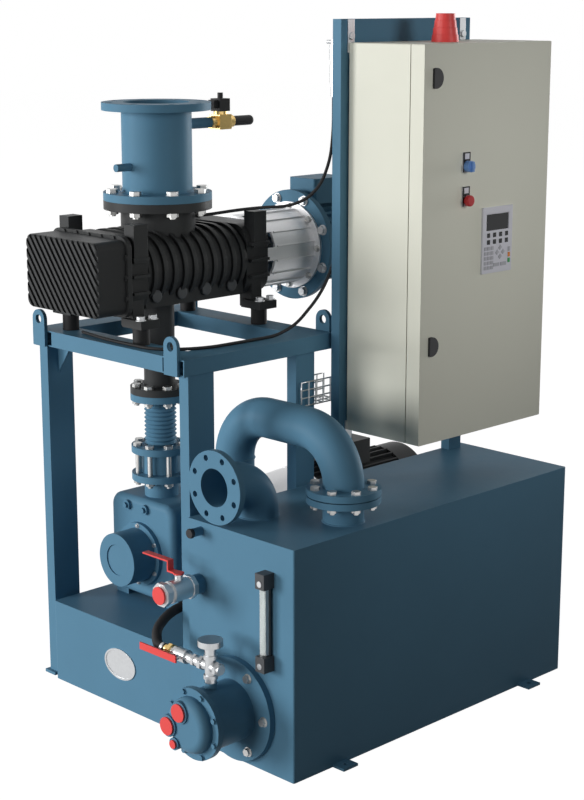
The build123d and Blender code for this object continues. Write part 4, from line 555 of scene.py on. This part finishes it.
def keep(
    mesh: bpy.types.Mesh, name: str, body: str, finish: Finish, palette: Palette
) -> bpy.types.Object:
    """Makes a mesh a piece of the object.

    Args:
        mesh: mesh in the row frame.
        name: name of the piece.
        body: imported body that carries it.
        finish: surface finish.
        palette: source of the material.

    Returns:
        The new piece.
    """
    mesh.name = name
    piece = bpy.data.objects.new(name, mesh)
    bpy.context.scene.collection.objects.link(piece)
    mesh.materials.clear()
    mesh.materials.append(palette.get(finish))
    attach(piece, body)
    LOG.info("made %s on %s", name, body)
    return piece


def facing(point: Vector, direction: Vector) -> Matrix:
    """Returns the place of a pattern whose own +Z looks along a direction.

    Args:
        point: where the pattern's middle stands.
        direction: the way that its +Z looks.
    """
    return Matrix.Translation(point) @ direction.to_track_quat("Z", "Y").to_matrix().to_4x4()


def middle(node: str) -> Vector:
    """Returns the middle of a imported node's box."""
    low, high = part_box(node)
    return (low + high) / 2


@dataclass
class Piece:
    """A small piece that Geometry Nodes make."""

    name: str
    body: str
    finish: Finish = field(default=Finish.STAINLESS, kw_only=True)

    def shape(self, pattern: Pattern) -> Socket:
        """Adds the piece's own nodes to a tree and returns their geometry."""
        raise NotImplementedError

    def build(
        self, palette: Palette, point: Vector, direction: Vector, turn: float = 0.0
    ) -> bpy.types.Object:
        """Makes the piece.

        Args:
            palette: source of the material.
            point: where the middle of its pattern stands.
            direction: the way that the pattern's +Z looks.
            turn: turn about that direction.

        Returns:
            The finished piece.
        """
        pattern = Pattern(self.name)
        mesh = pattern.run(self.shape(pattern), palette.get(self.finish))
        mesh.transform(facing(point, direction) @ Matrix.Rotation(turn, 4, "Z"))
        return keep(mesh, self.name, self.body, self.finish, palette)


@dataclass
class ScrewRing(Piece):
    """Hexagon screws on a circle, standing on its plane."""

    ring_radius: float
    count: int
    head_radius: float
    head_height: float

    def shape(self, pattern: Pattern) -> Socket:
        """Adds the screws.

        Args:
            pattern: tree to add to.

        Returns:
            Their geometry.
        """
        count = pattern.size("Count", self.count, "NodeSocketInt")
        radius = pattern.size("Ring radius", self.ring_radius)
        head_radius = pattern.size("Head radius", self.head_radius)
        head_height = pattern.size("Head height", self.head_height)
        links = {"Vertices": count, "Radius": radius}
        circle = pattern.node("GeometryNodeMeshCircle", links).outputs["Mesh"]
        return pattern.copies(circle, pattern.hex_head(head_radius, head_height))


@dataclass
class GridOf(Piece):
    """Small blocks or hexagon heads on a grid, standing on its plane."""

    size: tuple[float, float]
    counts: tuple[int, int]
    item: Point
    hexagon: bool = False

    def shape(self, pattern: Pattern) -> Socket:
        """Adds the blocks or heads.

        Args:
            pattern: tree to add to.

        Returns:
            Their geometry.
        """
        links = {
            "Size X": pattern.size("Width", self.size[0]),
            "Size Y": pattern.size("Height", self.size[1]),
            "Vertices X": pattern.size("Columns", self.counts[0], "NodeSocketInt"),
            "Vertices Y": pattern.size("Rows", self.counts[1], "NodeSocketInt"),
        }
        grid = pattern.node("GeometryNodeMeshGrid", links).outputs["Mesh"]
        wide, _, high = self.item
        if self.hexagon:
            radius = pattern.size("Head radius", wide)
            item = pattern.hex_head(radius, pattern.size("Head height", high))
        else:
            block = pattern.node("GeometryNodeMeshCube", {"Size": Vector(self.item)}).outputs["Mesh"]
            item = pattern.raised(block, high / 2)
        return pattern.copies(grid, item)


@dataclass
class Collar(Piece):
    """Short round or many-sided ring about a longer, narrower core."""

    radius: float
    length: float
    sides: int = 6
    lip: float = 0.82
    core_length: float = 1.25

    def shape(self, pattern: Pattern) -> Socket:
        """Adds the ring and its core.

        Args:
            pattern: tree to add to.

        Returns:
            Their geometry.
        """
        radius = pattern.size("Radius", self.radius)
        length = pattern.size("Length", self.length)
        ring = pattern.cylinder(pattern.size("Sides", self.sides, "NodeSocketInt"), radius, length)
        narrow, longer = pattern.times(radius, self.lip), pattern.times(length, self.core_length)
        return pattern.join(ring, pattern.cylinder(CORE_SIDES, narrow, longer))


@dataclass
class WeldBead(Piece):
    """Round weld bead with a rippled back."""

    radius: float
    bead: float = 0.0032
    ripple: float = 0.0009
    ripple_scale: float = 260.0
    steps: tuple[int, int] = (240, 10)
    finish: Finish = field(default=Finish.BLUE, kw_only=True)

    def shape(self, pattern: Pattern) -> Socket:
        """Adds the bead on its circle.

        Args:
            pattern: tree to add to.

        Returns:
            Its geometry.
        """
        circle = pattern.circle(self.steps[0], pattern.size("Radius", self.radius))
        section = pattern.circle(self.steps[1], pattern.size("Bead", self.bead))
        tube = pattern.sweep(circle, section)
        noise = pattern.node("ShaderNodeTexNoise", {"Scale": self.ripple_scale}).outputs["Fac"]
        centred = pattern.node("ShaderNodeMath", {0: noise, 1: 0.5}, operation="SUBTRACT").outputs[0]
        height = pattern.times(centred, pattern.size("Ripple", self.ripple))
        normal = pattern.node("GeometryNodeInputNormal").outputs[0]
        shift = pattern.node("ShaderNodeVectorMath", {0: normal, "Scale": height}, operation="SCALE")
        links = {"Geometry": tube, "Offset": shift.outputs[0]}
        return pattern.node("GeometryNodeSetPosition", links).outputs[0]


@dataclass
class WireBasket(Piece):
    """U-shaped cable tray of welded wire, open at the top and standing on its floor's middle."""

    size: Point
    wire: float = 0.0025
    pitch: float = 0.025
    wire_sides: int = 8
    finish: Finish = field(default=Finish.WOVEN_WIRE, kw_only=True)

    def net(self, pattern: Pattern, width: float) -> Socket:
        """Adds one flat net of wires as long as the tray, centred on the origin.

        Args:
            pattern: tree to add to.
            width: width of the net.

        Returns:
            The net's geometry.
        """
        length = self.size[1]
        links = {
            "Size X": width,
            "Size Y": length,
            "Vertices X": round(width / self.pitch) + 1,
            "Vertices Y": round(length / self.pitch),
        }
        grid = pattern.node("GeometryNodeMeshGrid", links).outputs["Mesh"]
        lines = pattern.node("GeometryNodeMeshToCurve", {"Mesh": grid}).outputs["Curve"]
        return pattern.sweep(lines, pattern.circle(self.wire_sides, self.wire))

    def shape(self, pattern: Pattern) -> Socket:
        """Adds the floor and both sides.

        Args:
            pattern: tree to add to.

        Returns:
            Their geometry.
        """
        width, _, height = self.size
        floor, side = self.net(pattern, width), self.net(pattern, height)
        sides = []
        for way in (-1, 1):
            links = {
                "Geometry": side,
                "Rotation": (0.0, math.pi / 2, 0.0),
                "Translation": (way * width / 2, 0.0, height / 2),
            }
            sides.append(pattern.node("GeometryNodeTransform", links).outputs[0])
        return pattern.join(floor, *sides)


@dataclass
class OvalPlate:
    """Bare oval plate with a raised rim."""

    name: str
    body: str
    half_width: float
    half_height: float
    thickness: float = 0.002
    rim: float = 0.006
    steps: int = 96
    finish: Finish = Finish.STAINLESS

    def build(self, palette: Palette, point: Vector, direction: Vector) -> bpy.types.Object:
        """Makes the plate.

        Args:
            palette: source of the material.
            point: middle of the plate, on the surface that carries it.
            direction: the way that it looks.

        Returns:
            The finished piece.
        """
        rings = (
            (0.0, 0.0),
            (0.0, 2 * self.thickness),
            (self.rim, 2 * self.thickness),
            (self.rim, self.thickness),
        )
        points: list[Point] = []
        for inset, height in rings:
            for step in range(self.steps):
                angle = 2 * math.pi * step / self.steps
                wide = (self.half_width - inset) * math.cos(angle)
                high = (self.half_height - inset) * math.sin(angle)
                points.append((wide, high, height))
        faces: list[tuple[int, ...]] = [tuple(reversed(range(self.steps)))]
        for ring in range(len(rings) - 1):
            for step in range(self.steps):
                after = (step + 1) % self.steps
                low, high = ring * self.steps, (ring + 1) * self.steps
                faces.append((low + step, low + after, high + after, high + step))
        faces.append(tuple((len(rings) - 1) * self.steps + step for step in range(self.steps)))
        mesh = bpy.data.meshes.new(self.name)
        mesh.from_pydata(points, [], faces)
        mesh.transform(facing(point, direction))
        return keep(mesh, self.name, self.body, self.finish, palette)


def seen_straight(tree: bpy.types.NodeTree) -> Socket:
    """Adds nodes that tell whether the eye, a mirror or a clear wall sees the surface.

    Args:
        tree: shader tree to add to.

    Returns:
        A value of 1 where it does, and of 0 for the light that falls on other surfaces.
    """
    path = tree.nodes.new("ShaderNodeLightPath")
    value = path.outputs["Is Camera Ray"]
    for kind in ("Is Glossy Ray", "Is Transmission Ray"):
        larger = tree.nodes.new("ShaderNodeMath")
        larger.operation = "MAXIMUM"
        tree.links.new(value, larger.inputs[0])
        tree.links.new(path.outputs[kind], larger.inputs[1])
        value = larger.outputs[0]
    return value


@dataclass(frozen=True)
class Lamp:
    """A square soft lamp that faces a point."""

    name: str
    place: Point
    target: Point
    side: float
    power: float
    spread: float = 180.0

    def hang(self) -> None:
        """Adds the lamp to the scene."""
        data = bpy.data.lights.new(self.name, "AREA")
        data.shape = "SQUARE"
        data.size = self.side
        data.energy = self.power
        data.spread = math.radians(self.spread)
        made = bpy.data.objects.new(self.name, data)
        made.visible_camera = False
        made.location = self.place
        way = Vector(self.target) - Vector(self.place)
        made.rotation_euler = way.to_track_quat("-Z", "Y").to_euler()
        bpy.context.scene.collection.objects.link(made)


OBJECT_MIDDLE = (0.3, 0.2, 1.0)
DOOR_MIDDLE = (0.8, 0.65, 1.6)
LAMPS = (
    Lamp("key_lamp", (-9.3, -12.2, 3.0), OBJECT_MIDDLE, 6.0, 1550.0),
    Lamp("front_lamp", (-1.0, -15.5, 3.0), OBJECT_MIDDLE, 6.0, 850.0),
    Lamp("back_lamp", (1.0, 15.0, 2.0), OBJECT_MIDDLE, 6.0, 900.0),
    Lamp("door_lamp", (3.4, 0.9, 2.3), DOOR_MIDDLE, 1.0, 2.6, 56.0),
)


@dataclass
class Studio:
    """Floor, lamps, world and camera."""

    floor_side: float = 60.0
    floor_colour: Colour = (0.36, 0.36, 0.36)
    floor_glow: float = 0.60
    glow_strength: float = 1.65
    sky_colour: Colour = (0.96, 0.98, 1.0)
    ambient: float = 0.05
    lens: float = 106.06
    sensor: float = 36.0
    camera_place: Point = (4.1305, -3.4869, 2.1882)
    camera_pitch: float = 90.0 - 13.12
    camera_yaw: float = 45.37

    def camera(self) -> None:
        """Places the camera."""
        data = bpy.data.cameras.new("camera")
        data.sensor_fit = "HORIZONTAL"
        data.sensor_width = self.sensor
        data.lens = self.lens
        made = bpy.data.objects.new("camera", data)
        made.location = self.camera_place
        made.rotation_euler = (math.radians(self.camera_pitch), 0.0, math.radians(self.camera_yaw))
        bpy.context.scene.collection.objects.link(made)
        bpy.context.scene.camera = made

    def floor(self) -> None:
        """Lays a pale floor that looks nearly white and keeps the shadow."""
        half = self.floor_side / 2
        mesh = bpy.data.meshes.new("floor")
        corners = [(-half, -half, 0.0), (half, -half, 0.0), (half, half, 0.0), (-half, half, 0.0)]
        mesh.from_pydata(corners, [], [(0, 1, 2, 3)])
        floor = bpy.data.objects.new("floor", mesh)
        bpy.context.scene.collection.objects.link(floor)
        material = bpy.data.materials.new("studio_floor")
        graph = Graph(material)
        diffuse = graph.node("ShaderNodeBsdfDiffuse")
        diffuse.inputs["Color"].default_value = (*self.floor_colour, 1.0)
        glow = graph.node("ShaderNodeEmission")
        glow.inputs["Strength"].default_value = self.glow_strength
        share = graph.node("ShaderNodeMath", operation="MULTIPLY")
        share.inputs[1].default_value = self.floor_glow
        graph.link(seen_straight(graph.tree), share.inputs[0])
        mix = graph.node("ShaderNodeMixShader")
        graph.link(share.outputs[0], mix.inputs["Fac"])
        graph.link(diffuse.outputs[0], mix.inputs[1])
        graph.link(glow.outputs[0], mix.inputs[2])
        graph.link(mix.outputs[0], graph.output.inputs["Surface"])
        mesh.materials.append(material)

    def world(self) -> None:
        """Gives a white backdrop and a dimmer surrounding light."""
        world = bpy.data.worlds.new("studio")
        bpy.context.scene.world = world
        world.use_nodes = True
        tree = world.node_tree
        tree.nodes.clear()
        output = tree.nodes.new("ShaderNodeOutputWorld")
        mix = tree.nodes.new("ShaderNodeMixShader")
        tree.links.new(seen_straight(tree), mix.inputs["Fac"])
        shades = ((self.sky_colour, self.ambient), ((1.0, 1.0, 1.0), 1.0))
        for index, (colour, strength) in enumerate(shades):
            shade = tree.nodes.new("ShaderNodeBackground")
            shade.inputs["Color"].default_value = (*colour, 1.0)
            shade.inputs["Strength"].default_value = strength
            tree.links.new(shade.outputs[0], mix.inputs[index + 1])
        tree.links.new(mix.outputs[0], output.inputs["Surface"])

    def build(self) -> None:
        """Sets up the whole studio."""
        bpy.context.scene.view_settings.view_transform = "Standard"
        self.camera()
        self.floor()
        self.world()
        for lamp in LAMPS:
            lamp.hang()


FORWARD = Vector((0.0, -1.0, 0.0))
BACK = Vector((0.0, 1.0, 0.0))
RIGHT = Vector((1.0, 0.0, 0.0))
UP = Vector((0.0, 0.0, 1.0))


@dataclass(frozen=True)
class KeyBlock:
    """A block of equal keys or plates on the door."""

    name: str
    across: float
    up: float
    key: tuple[float, float]
    finish: Finish
    spacing: tuple[float, float] = (0.0, 0.0)
    counts: tuple[int, int] = (1, 1)
    turn: float = 0.0
    proud: float = 0.0


PALE_KEY = (0.0125, 0.0110)
SIDE_KEY = (0.010, 0.014)
KEY_BLOCKS = (
    KeyBlock("display", 0.0, 0.055, (0.104, 0.050), Finish.DISPLAY, proud=-0.002),
    KeyBlock("keys_dark", 0.0, 0.005, (0.0135, 0.0140), Finish.DISPLAY, (0.088, 0.021), (4, 2)),
    KeyBlock("keys_numbers", -0.041, -0.055, PALE_KEY, Finish.KEY_GREY, (0.032, 0.060), (3, 5)),
    KeyBlock(
        "keys_arrows", 0.014, -0.040, PALE_KEY, Finish.KEY_GREY, (0.020, 0.020), (2, 2), math.pi / 4
    ),
    KeyBlock("keys_low", 0.014, -0.078, (0.028, 0.011), Finish.KEY_GREY, (0.034, 0.0), (2, 1)),
    KeyBlock("key_light", 0.058, -0.034, SIDE_KEY, Finish.KEY_GREY),
    KeyBlock("key_orange", 0.058, -0.052, SIDE_KEY, Finish.ORANGE),
    KeyBlock("key_green", 0.058, -0.070, SIDE_KEY, Finish.GREEN),
)
LEGEND_BLOCKS = (
    KeyBlock("frame_top", 0.0, 0.0282, (0.0326, 0.0282), Finish.DISPLAY),
    KeyBlock("frame_sides", 0.0, -0.0019, (0.0048, 0.0322), Finish.DISPLAY, (0.0275, 0.0), (2, 1)),
    KeyBlock("label", 0.0, 0.0300, (0.020, 0.017), Finish.PANEL, proud=0.0008),
)


@dataclass
class ControlCabinet:
    """Keys, display, legends and cable glands of the cabinet."""

    palette: Palette
    panel_width: float = 0.145
    panel_height: float = 0.205
    key_height: float = 0.0015
    legend_thickness: float = 0.003
    button_gap: float = 0.103
    gland_radius: float = 0.014
    gland_reach: float = 0.022
    gland_count: int = 5
    gland_pitch: float = 0.062
    gland_setback: float = 0.06

    def keys(self, block: KeyBlock, name: str, face: Vector) -> None:
        """Makes one block of keys.

        Args:
            block: what the block is like.
            name: name of the piece.
            face: the point of the door's face that the block is measured from.
        """
        spot = face + Vector((block.proud, block.across, block.up))
        item = (*block.key, self.key_height)
        grid = GridOf(name, DOOR, block.spacing, block.counts, item, finish=block.finish)
        grid.build(self.palette, spot, RIGHT, block.turn)

    def keypad(self) -> None:
        """Makes the display and every block of keys."""
        low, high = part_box("operator_panel")
        face = Vector((high.x, high.y - self.panel_width / 2, low.z + self.panel_height / 2))
        for block in KEY_BLOCKS:
            self.keys(block, block.name, face)

    def legends(self) -> None:
        """Makes the dark frames and the pale labels beside the two buttons."""
        low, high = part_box("selector_knob")
        knob = (low + high) / 2
        panel_low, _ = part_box("operator_panel")
        for button, drop in (("selector", 0.0), ("stop", self.button_gap)):
            face = Vector((panel_low.x + self.legend_thickness, knob.y, knob.z - drop))
            for block in LEGEND_BLOCKS:
                self.keys(block, f"{button}_{block.name}", face)

    def glands(self) -> None:
        """Makes the cable glands under the cabinet."""
        low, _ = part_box("cabinet_body")
        centre = middle("cabinet_body")
        centre.x = low.x + self.gland_setback
        centre.z = low.z - self.gland_reach / 2
        for index in range(self.gland_count):
            along = (index - (self.gland_count - 1) / 2) * self.gland_pitch
            name = f"cabinet_gland_{index + 1}"
            gland = Collar(name, SKID, self.gland_radius, self.gland_reach, finish=Finish.GREY_PLASTIC)
            gland.build(self.palette, centre + Vector((0.0, along, 0.0)), UP)

    def build(self) -> None:
        """Makes the keypad, the legends and the glands."""
        self.keypad()
        self.legends()
        self.glands()


@dataclass
class Cooler:
    """Screws of the cooler's plate and of its head."""

    palette: Palette
    plate_circle: float = 0.262
    plate_thickness: float = 0.020
    plate_screws: int = 6
    plate_head: tuple[float, float] = (0.012, 0.010)
    rim_circle: float = 0.196
    rim_thickness: float = 0.010
    rim_screws: int = 8
    rim_head: tuple[float, float] = (0.0085, 0.006)

    def build(self) -> None:
        """Makes both rings of screws."""
        x, z = middle("cooler_shell").x, middle("cooler_head").z
        _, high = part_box("cooler_shell")
        plate = ScrewRing(
            "cooler_plate_screws", SKID, self.plate_circle / 2, self.plate_screws, *self.plate_head,
            finish=Finish.ZINC,
        )
        plate.build(self.palette, Vector((x, high.y - self.plate_thickness, z)), FORWARD)
        _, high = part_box("cooler_head")
        rim = ScrewRing(
            "cooler_head_screws", SKID, self.rim_circle / 2, self.rim_screws, *self.rim_head,
            finish=Finish.BLUE,
        )
        spot = Vector((x, high.y - self.rim_thickness, z))
        rim.build(self.palette, spot, FORWARD, math.pi / self.rim_screws)


@dataclass
class Pumps:
    """Screws and plugs of the backing pump's cover and of the blower."""

    palette: Palette
    cover_ring: float = 0.0955
    cover_screws: int = 6
    cover_head: tuple[float, float] = (0.0062, 0.005)
    cover_flange: float = 0.014
    motor_ring: float = 0.165
    motor_screws: int = 8
    motor_head: tuple[float, float] = (0.014, 0.012)
    rim_ring: float = 0.134
    rim_head: tuple[float, float] = (0.009, 0.007)
    rim_thickness: float = 0.008
    plug: tuple[float, float] = (0.0192, 0.003)
    plug_face: float = 0.157
    plug_height: float = 1.306
    plug_places: tuple[float, ...] = (-0.143, -0.041, 0.059, 0.167)
    foot_head: Point = (0.013, 0.0, 0.011)
    foot_screw_gap: float = 0.046
    foot_reach: float = 0.201
    foot_thickness: float = 0.026

    def cover(self) -> None:
        """Makes the screws of the backing pump's cover."""
        _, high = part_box("backing_cover")
        centre = middle("backing_cover")
        count = self.cover_screws
        ring = ScrewRing("pump_cover_screws", SKID, self.cover_ring, count, *self.cover_head)
        spot = Vector((centre.x, high.y - self.cover_flange, centre.z))
        ring.build(self.palette, spot, FORWARD, math.pi / count)

    def bell(self) -> None:
        """Makes the screws of the motor flange and of the bell's rim."""
        _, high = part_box("bell_housing")
        centre = middle("bell_housing")
        count = self.motor_screws
        flange = ScrewRing("motor_flange_screws", SKID, self.motor_ring, count, *self.motor_head)
        flange.build(self.palette, Vector((centre.x, high.y, centre.z)), FORWARD, math.pi / count)
        rim = ScrewRing(
            "bell_rim_screws", SKID, self.rim_ring, count, *self.rim_head, finish=Finish.ZINC
        )
        rim.build(self.palette, Vector((centre.x, high.y - self.rim_thickness, centre.z)), FORWARD)

    def plugs(self) -> None:
        """Makes the grey faces of the round plugs on the casing's flank."""
        face = self.plug_face + self.plug[1] / 2
        for index, place in enumerate(self.plug_places):
            name = f"casing_plug_{index + 1}"
            plug = Collar(name, SKID, *self.plug, CORE_SIDES, finish=Finish.PLUG)
            plug.build(self.palette, Vector((face, place, self.plug_height)), RIGHT)

    def feet(self) -> None:
        """Makes the foot screws of both end plates."""
        for node in ("gear_end_plate", "motor_end_plate"):
            low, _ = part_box(node)
            z = low.z + self.foot_thickness
            for side, way in (("left", -1), ("right", 1)):
                name, gap = f"{node}_foot_screws_{side}", (0.0, self.foot_screw_gap)
                screws = GridOf(name, SKID, gap, (1, 2), self.foot_head, hexagon=True)
                screws.build(self.palette, Vector((way * self.foot_reach, middle(node).y, z)), UP)

    def build(self) -> None:
        """Makes every screw and plug of the pumps."""
        self.cover()
        self.bell()
        self.plugs()
        self.feet()


@dataclass
class Pipes:
    """Weld beads of the pipes."""

    palette: Palette
    pipe_radius: float = 0.061
    flange_radius: float = 0.110
    bridge_span: float = 0.466
    bend: float = 0.151
    riser_weld: float = 0.675
    tank_top: float = 0.700
    outlet_foot: Point = (0.583, -0.125, 0.700)
    outlet: Point = (0.583, -0.280, 0.818)
    suction_radius: float = 0.1095
    suction_flange: float = 0.024

    def build(self) -> None:
        """Makes every bead."""
        low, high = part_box("discharge_pipe")
        right = high.x - self.flange_radius
        left = right - self.bridge_span
        y = (low.y + high.y) / 2
        bend_foot = high.z - self.pipe_radius - self.bend
        beads = (
            ("weld_riser_low", Vector((left, y, self.riser_weld)), UP),
            ("weld_riser_high", Vector((left, y, bend_foot)), UP),
            ("weld_tank_neck", Vector((right, y, self.tank_top)), UP),
            ("weld_outlet", Vector(self.outlet_foot), UP),
            ("weld_outlet_flange", Vector(self.outlet), BACK),
        )
        for name, point, axis in beads:
            WeldBead(name, SKID, self.pipe_radius).build(self.palette, point, axis)
        low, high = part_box("inlet_pipe")
        rise = self.suction_flange
        for name, z in (("weld_suction_low", low.z + rise), ("weld_suction_high", high.z - rise)):
            WeldBead(name, SKID, self.suction_radius).build(self.palette, Vector((0.0, 0.0, z)), UP)


@dataclass
class Fittings:
    """Hexagons, collars and clamp of the water line and the drain valve."""

    palette: Palette
    tee_inset: float = 0.045
    tee_y: float = -0.395
    tee_height: float = 0.322
    hexagons: tuple[Point, ...] = (
        (0.030, 0.021, 0.012), (-0.036, 0.021, 0.012), (-0.066, 0.019, 0.010), (-0.152, 0.019, 0.010)
    )
    collar: tuple[float, float] = (0.021, 0.012)
    collar_rise: float = 0.030
    valve_radius: float = 0.037
    valve_sides: int = 8
    valve_drop: float = 0.033
    valve_inset: float = 0.012
    front_length: float = 0.018
    rear_length: float = 0.016
    clamp: tuple[float, float] = (0.0165, 0.009)
    clamp_gap: float = 0.012
    clamp_lip: float = 0.96

    def water_line(self) -> None:
        """Makes the hexagons along the line and the collars of the tee."""
        _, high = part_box("water_fittings")
        tee = Vector((high.x - self.tee_inset, self.tee_y, self.tee_height))
        for index, (offset, radius, length) in enumerate(self.hexagons):
            hexagon = Collar(f"water_hexagon_{index + 1}", SKID, radius, length)
            hexagon.build(self.palette, tee + Vector((offset, 0.0, 0.0)), RIGHT, math.pi / 6)
        for index, rise in enumerate((self.collar_rise, -self.collar_rise)):
            collar = Collar(f"tee_collar_{index + 1}", SKID, *self.collar, ROUND_SIDES)
            collar.build(self.palette, tee + Vector((0.0, 0.0, rise)), UP)

    def drain(self) -> None:
        """Makes the two octagons of the drain valve."""
        low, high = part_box("drain_valve")
        for name, length, y in (
            ("drain_hexagon_front", self.front_length, low.y + self.valve_inset),
            ("drain_hexagon_rear", self.rear_length, high.y - self.valve_inset),
        ):
            centre = Vector(((low.x + high.x) / 2, y, low.z + self.valve_drop))
            octagon = Collar(name, SKID, self.valve_radius, length, self.valve_sides)
            octagon.build(self.palette, centre, BACK, math.pi / self.valve_sides)

    def build(self) -> None:
        """Makes the fittings and the clamp of the hose."""
        self.water_line()
        self.drain()
        low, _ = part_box("hose_tail")
        centre = middle("hose_tail")
        clamp = Collar("hose_clamp", SKID, *self.clamp, CORE_SIDES, self.clamp_lip)
        clamp.build(self.palette, Vector((low.x - self.clamp_gap, centre.y, centre.z)), RIGHT)


@dataclass
class LevelGauge:
    """Nuts and scale of the level gauge."""

    palette: Palette
    nut: tuple[float, float] = (0.009, 0.004)
    nut_lip: float = 0.6
    low_nut: float = 0.018
    high_nut: float = 0.030
    scale: Point = (0.020, 0.196, 0.012)
    scale_depth: float = 0.013

    def build(self) -> None:
        """Makes the nuts and the scale."""
        low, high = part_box("level_gauge")
        centre = middle("level_gauge")
        heights = (low.z + self.low_nut, high.z - self.high_nut)
        for end, z in zip(("low", "high"), heights):
            nut = Collar(f"gauge_nut_{end}", SKID, *self.nut, ROUND_SIDES, self.nut_lip)
            nut.build(self.palette, Vector((centre.x, low.y, z)), FORWARD)
        scale = GridOf("gauge_scale", SKID, (0.0, 0.0), (1, 1), self.scale, finish=Finish.WHITE)
        scale.build(self.palette, Vector((centre.x, high.y - self.scale_depth, centre.z)), FORWARD)


@dataclass
class SkidParts:
    """Bare plate of the plinth, head of the tank's plug and the cable tray."""

    palette: Palette
    plate_x: float = 0.122
    plate_height: float = 0.144
    plate_half: tuple[float, float] = (0.075, 0.050)
    plug_place: Point = (0.513, -0.331, 0.672)
    plug: tuple[float, float] = (0.0150, 0.010)
    plug_lip: float = 0.9
    tray_size: Point = (0.0595, 0.160, 0.075)
    tray_place: Point = (0.42275, 0.265, 0.955)
    tray_turn: float = math.pi

    def build(self) -> None:
        """Makes the three pieces."""
        low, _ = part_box("plinth")
        plate = OvalPlate("maker_plate", SKID, *self.plate_half)
        plate.build(self.palette, Vector((self.plate_x, low.y, self.plate_height)), FORWARD)
        plug = Collar("tank_plug_head", SKID, *self.plug, lip=self.plug_lip, finish=Finish.DARK_PLASTIC)
        plug.build(self.palette, Vector(self.plug_place), FORWARD)
        tray = WireBasket("cable_tray", SKID, self.tray_size)
        tray.build(self.palette, Vector(self.tray_place), UP, self.tray_turn)


def main() -> None:
    """Builds the scene."""
    logging.basicConfig(level=logging.INFO)
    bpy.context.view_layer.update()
    palette = Palette()
    for finish, nodes in NODE_FINISHES.items():
        for node in nodes:
            palette.dress(node, finish)
    Studio().build()
    for assembly in (ControlCabinet, Cooler, Pumps, Pipes, Fittings, LevelGauge, SkidParts):
        assembly(palette).build()


if __name__ == "__main__":
    main()
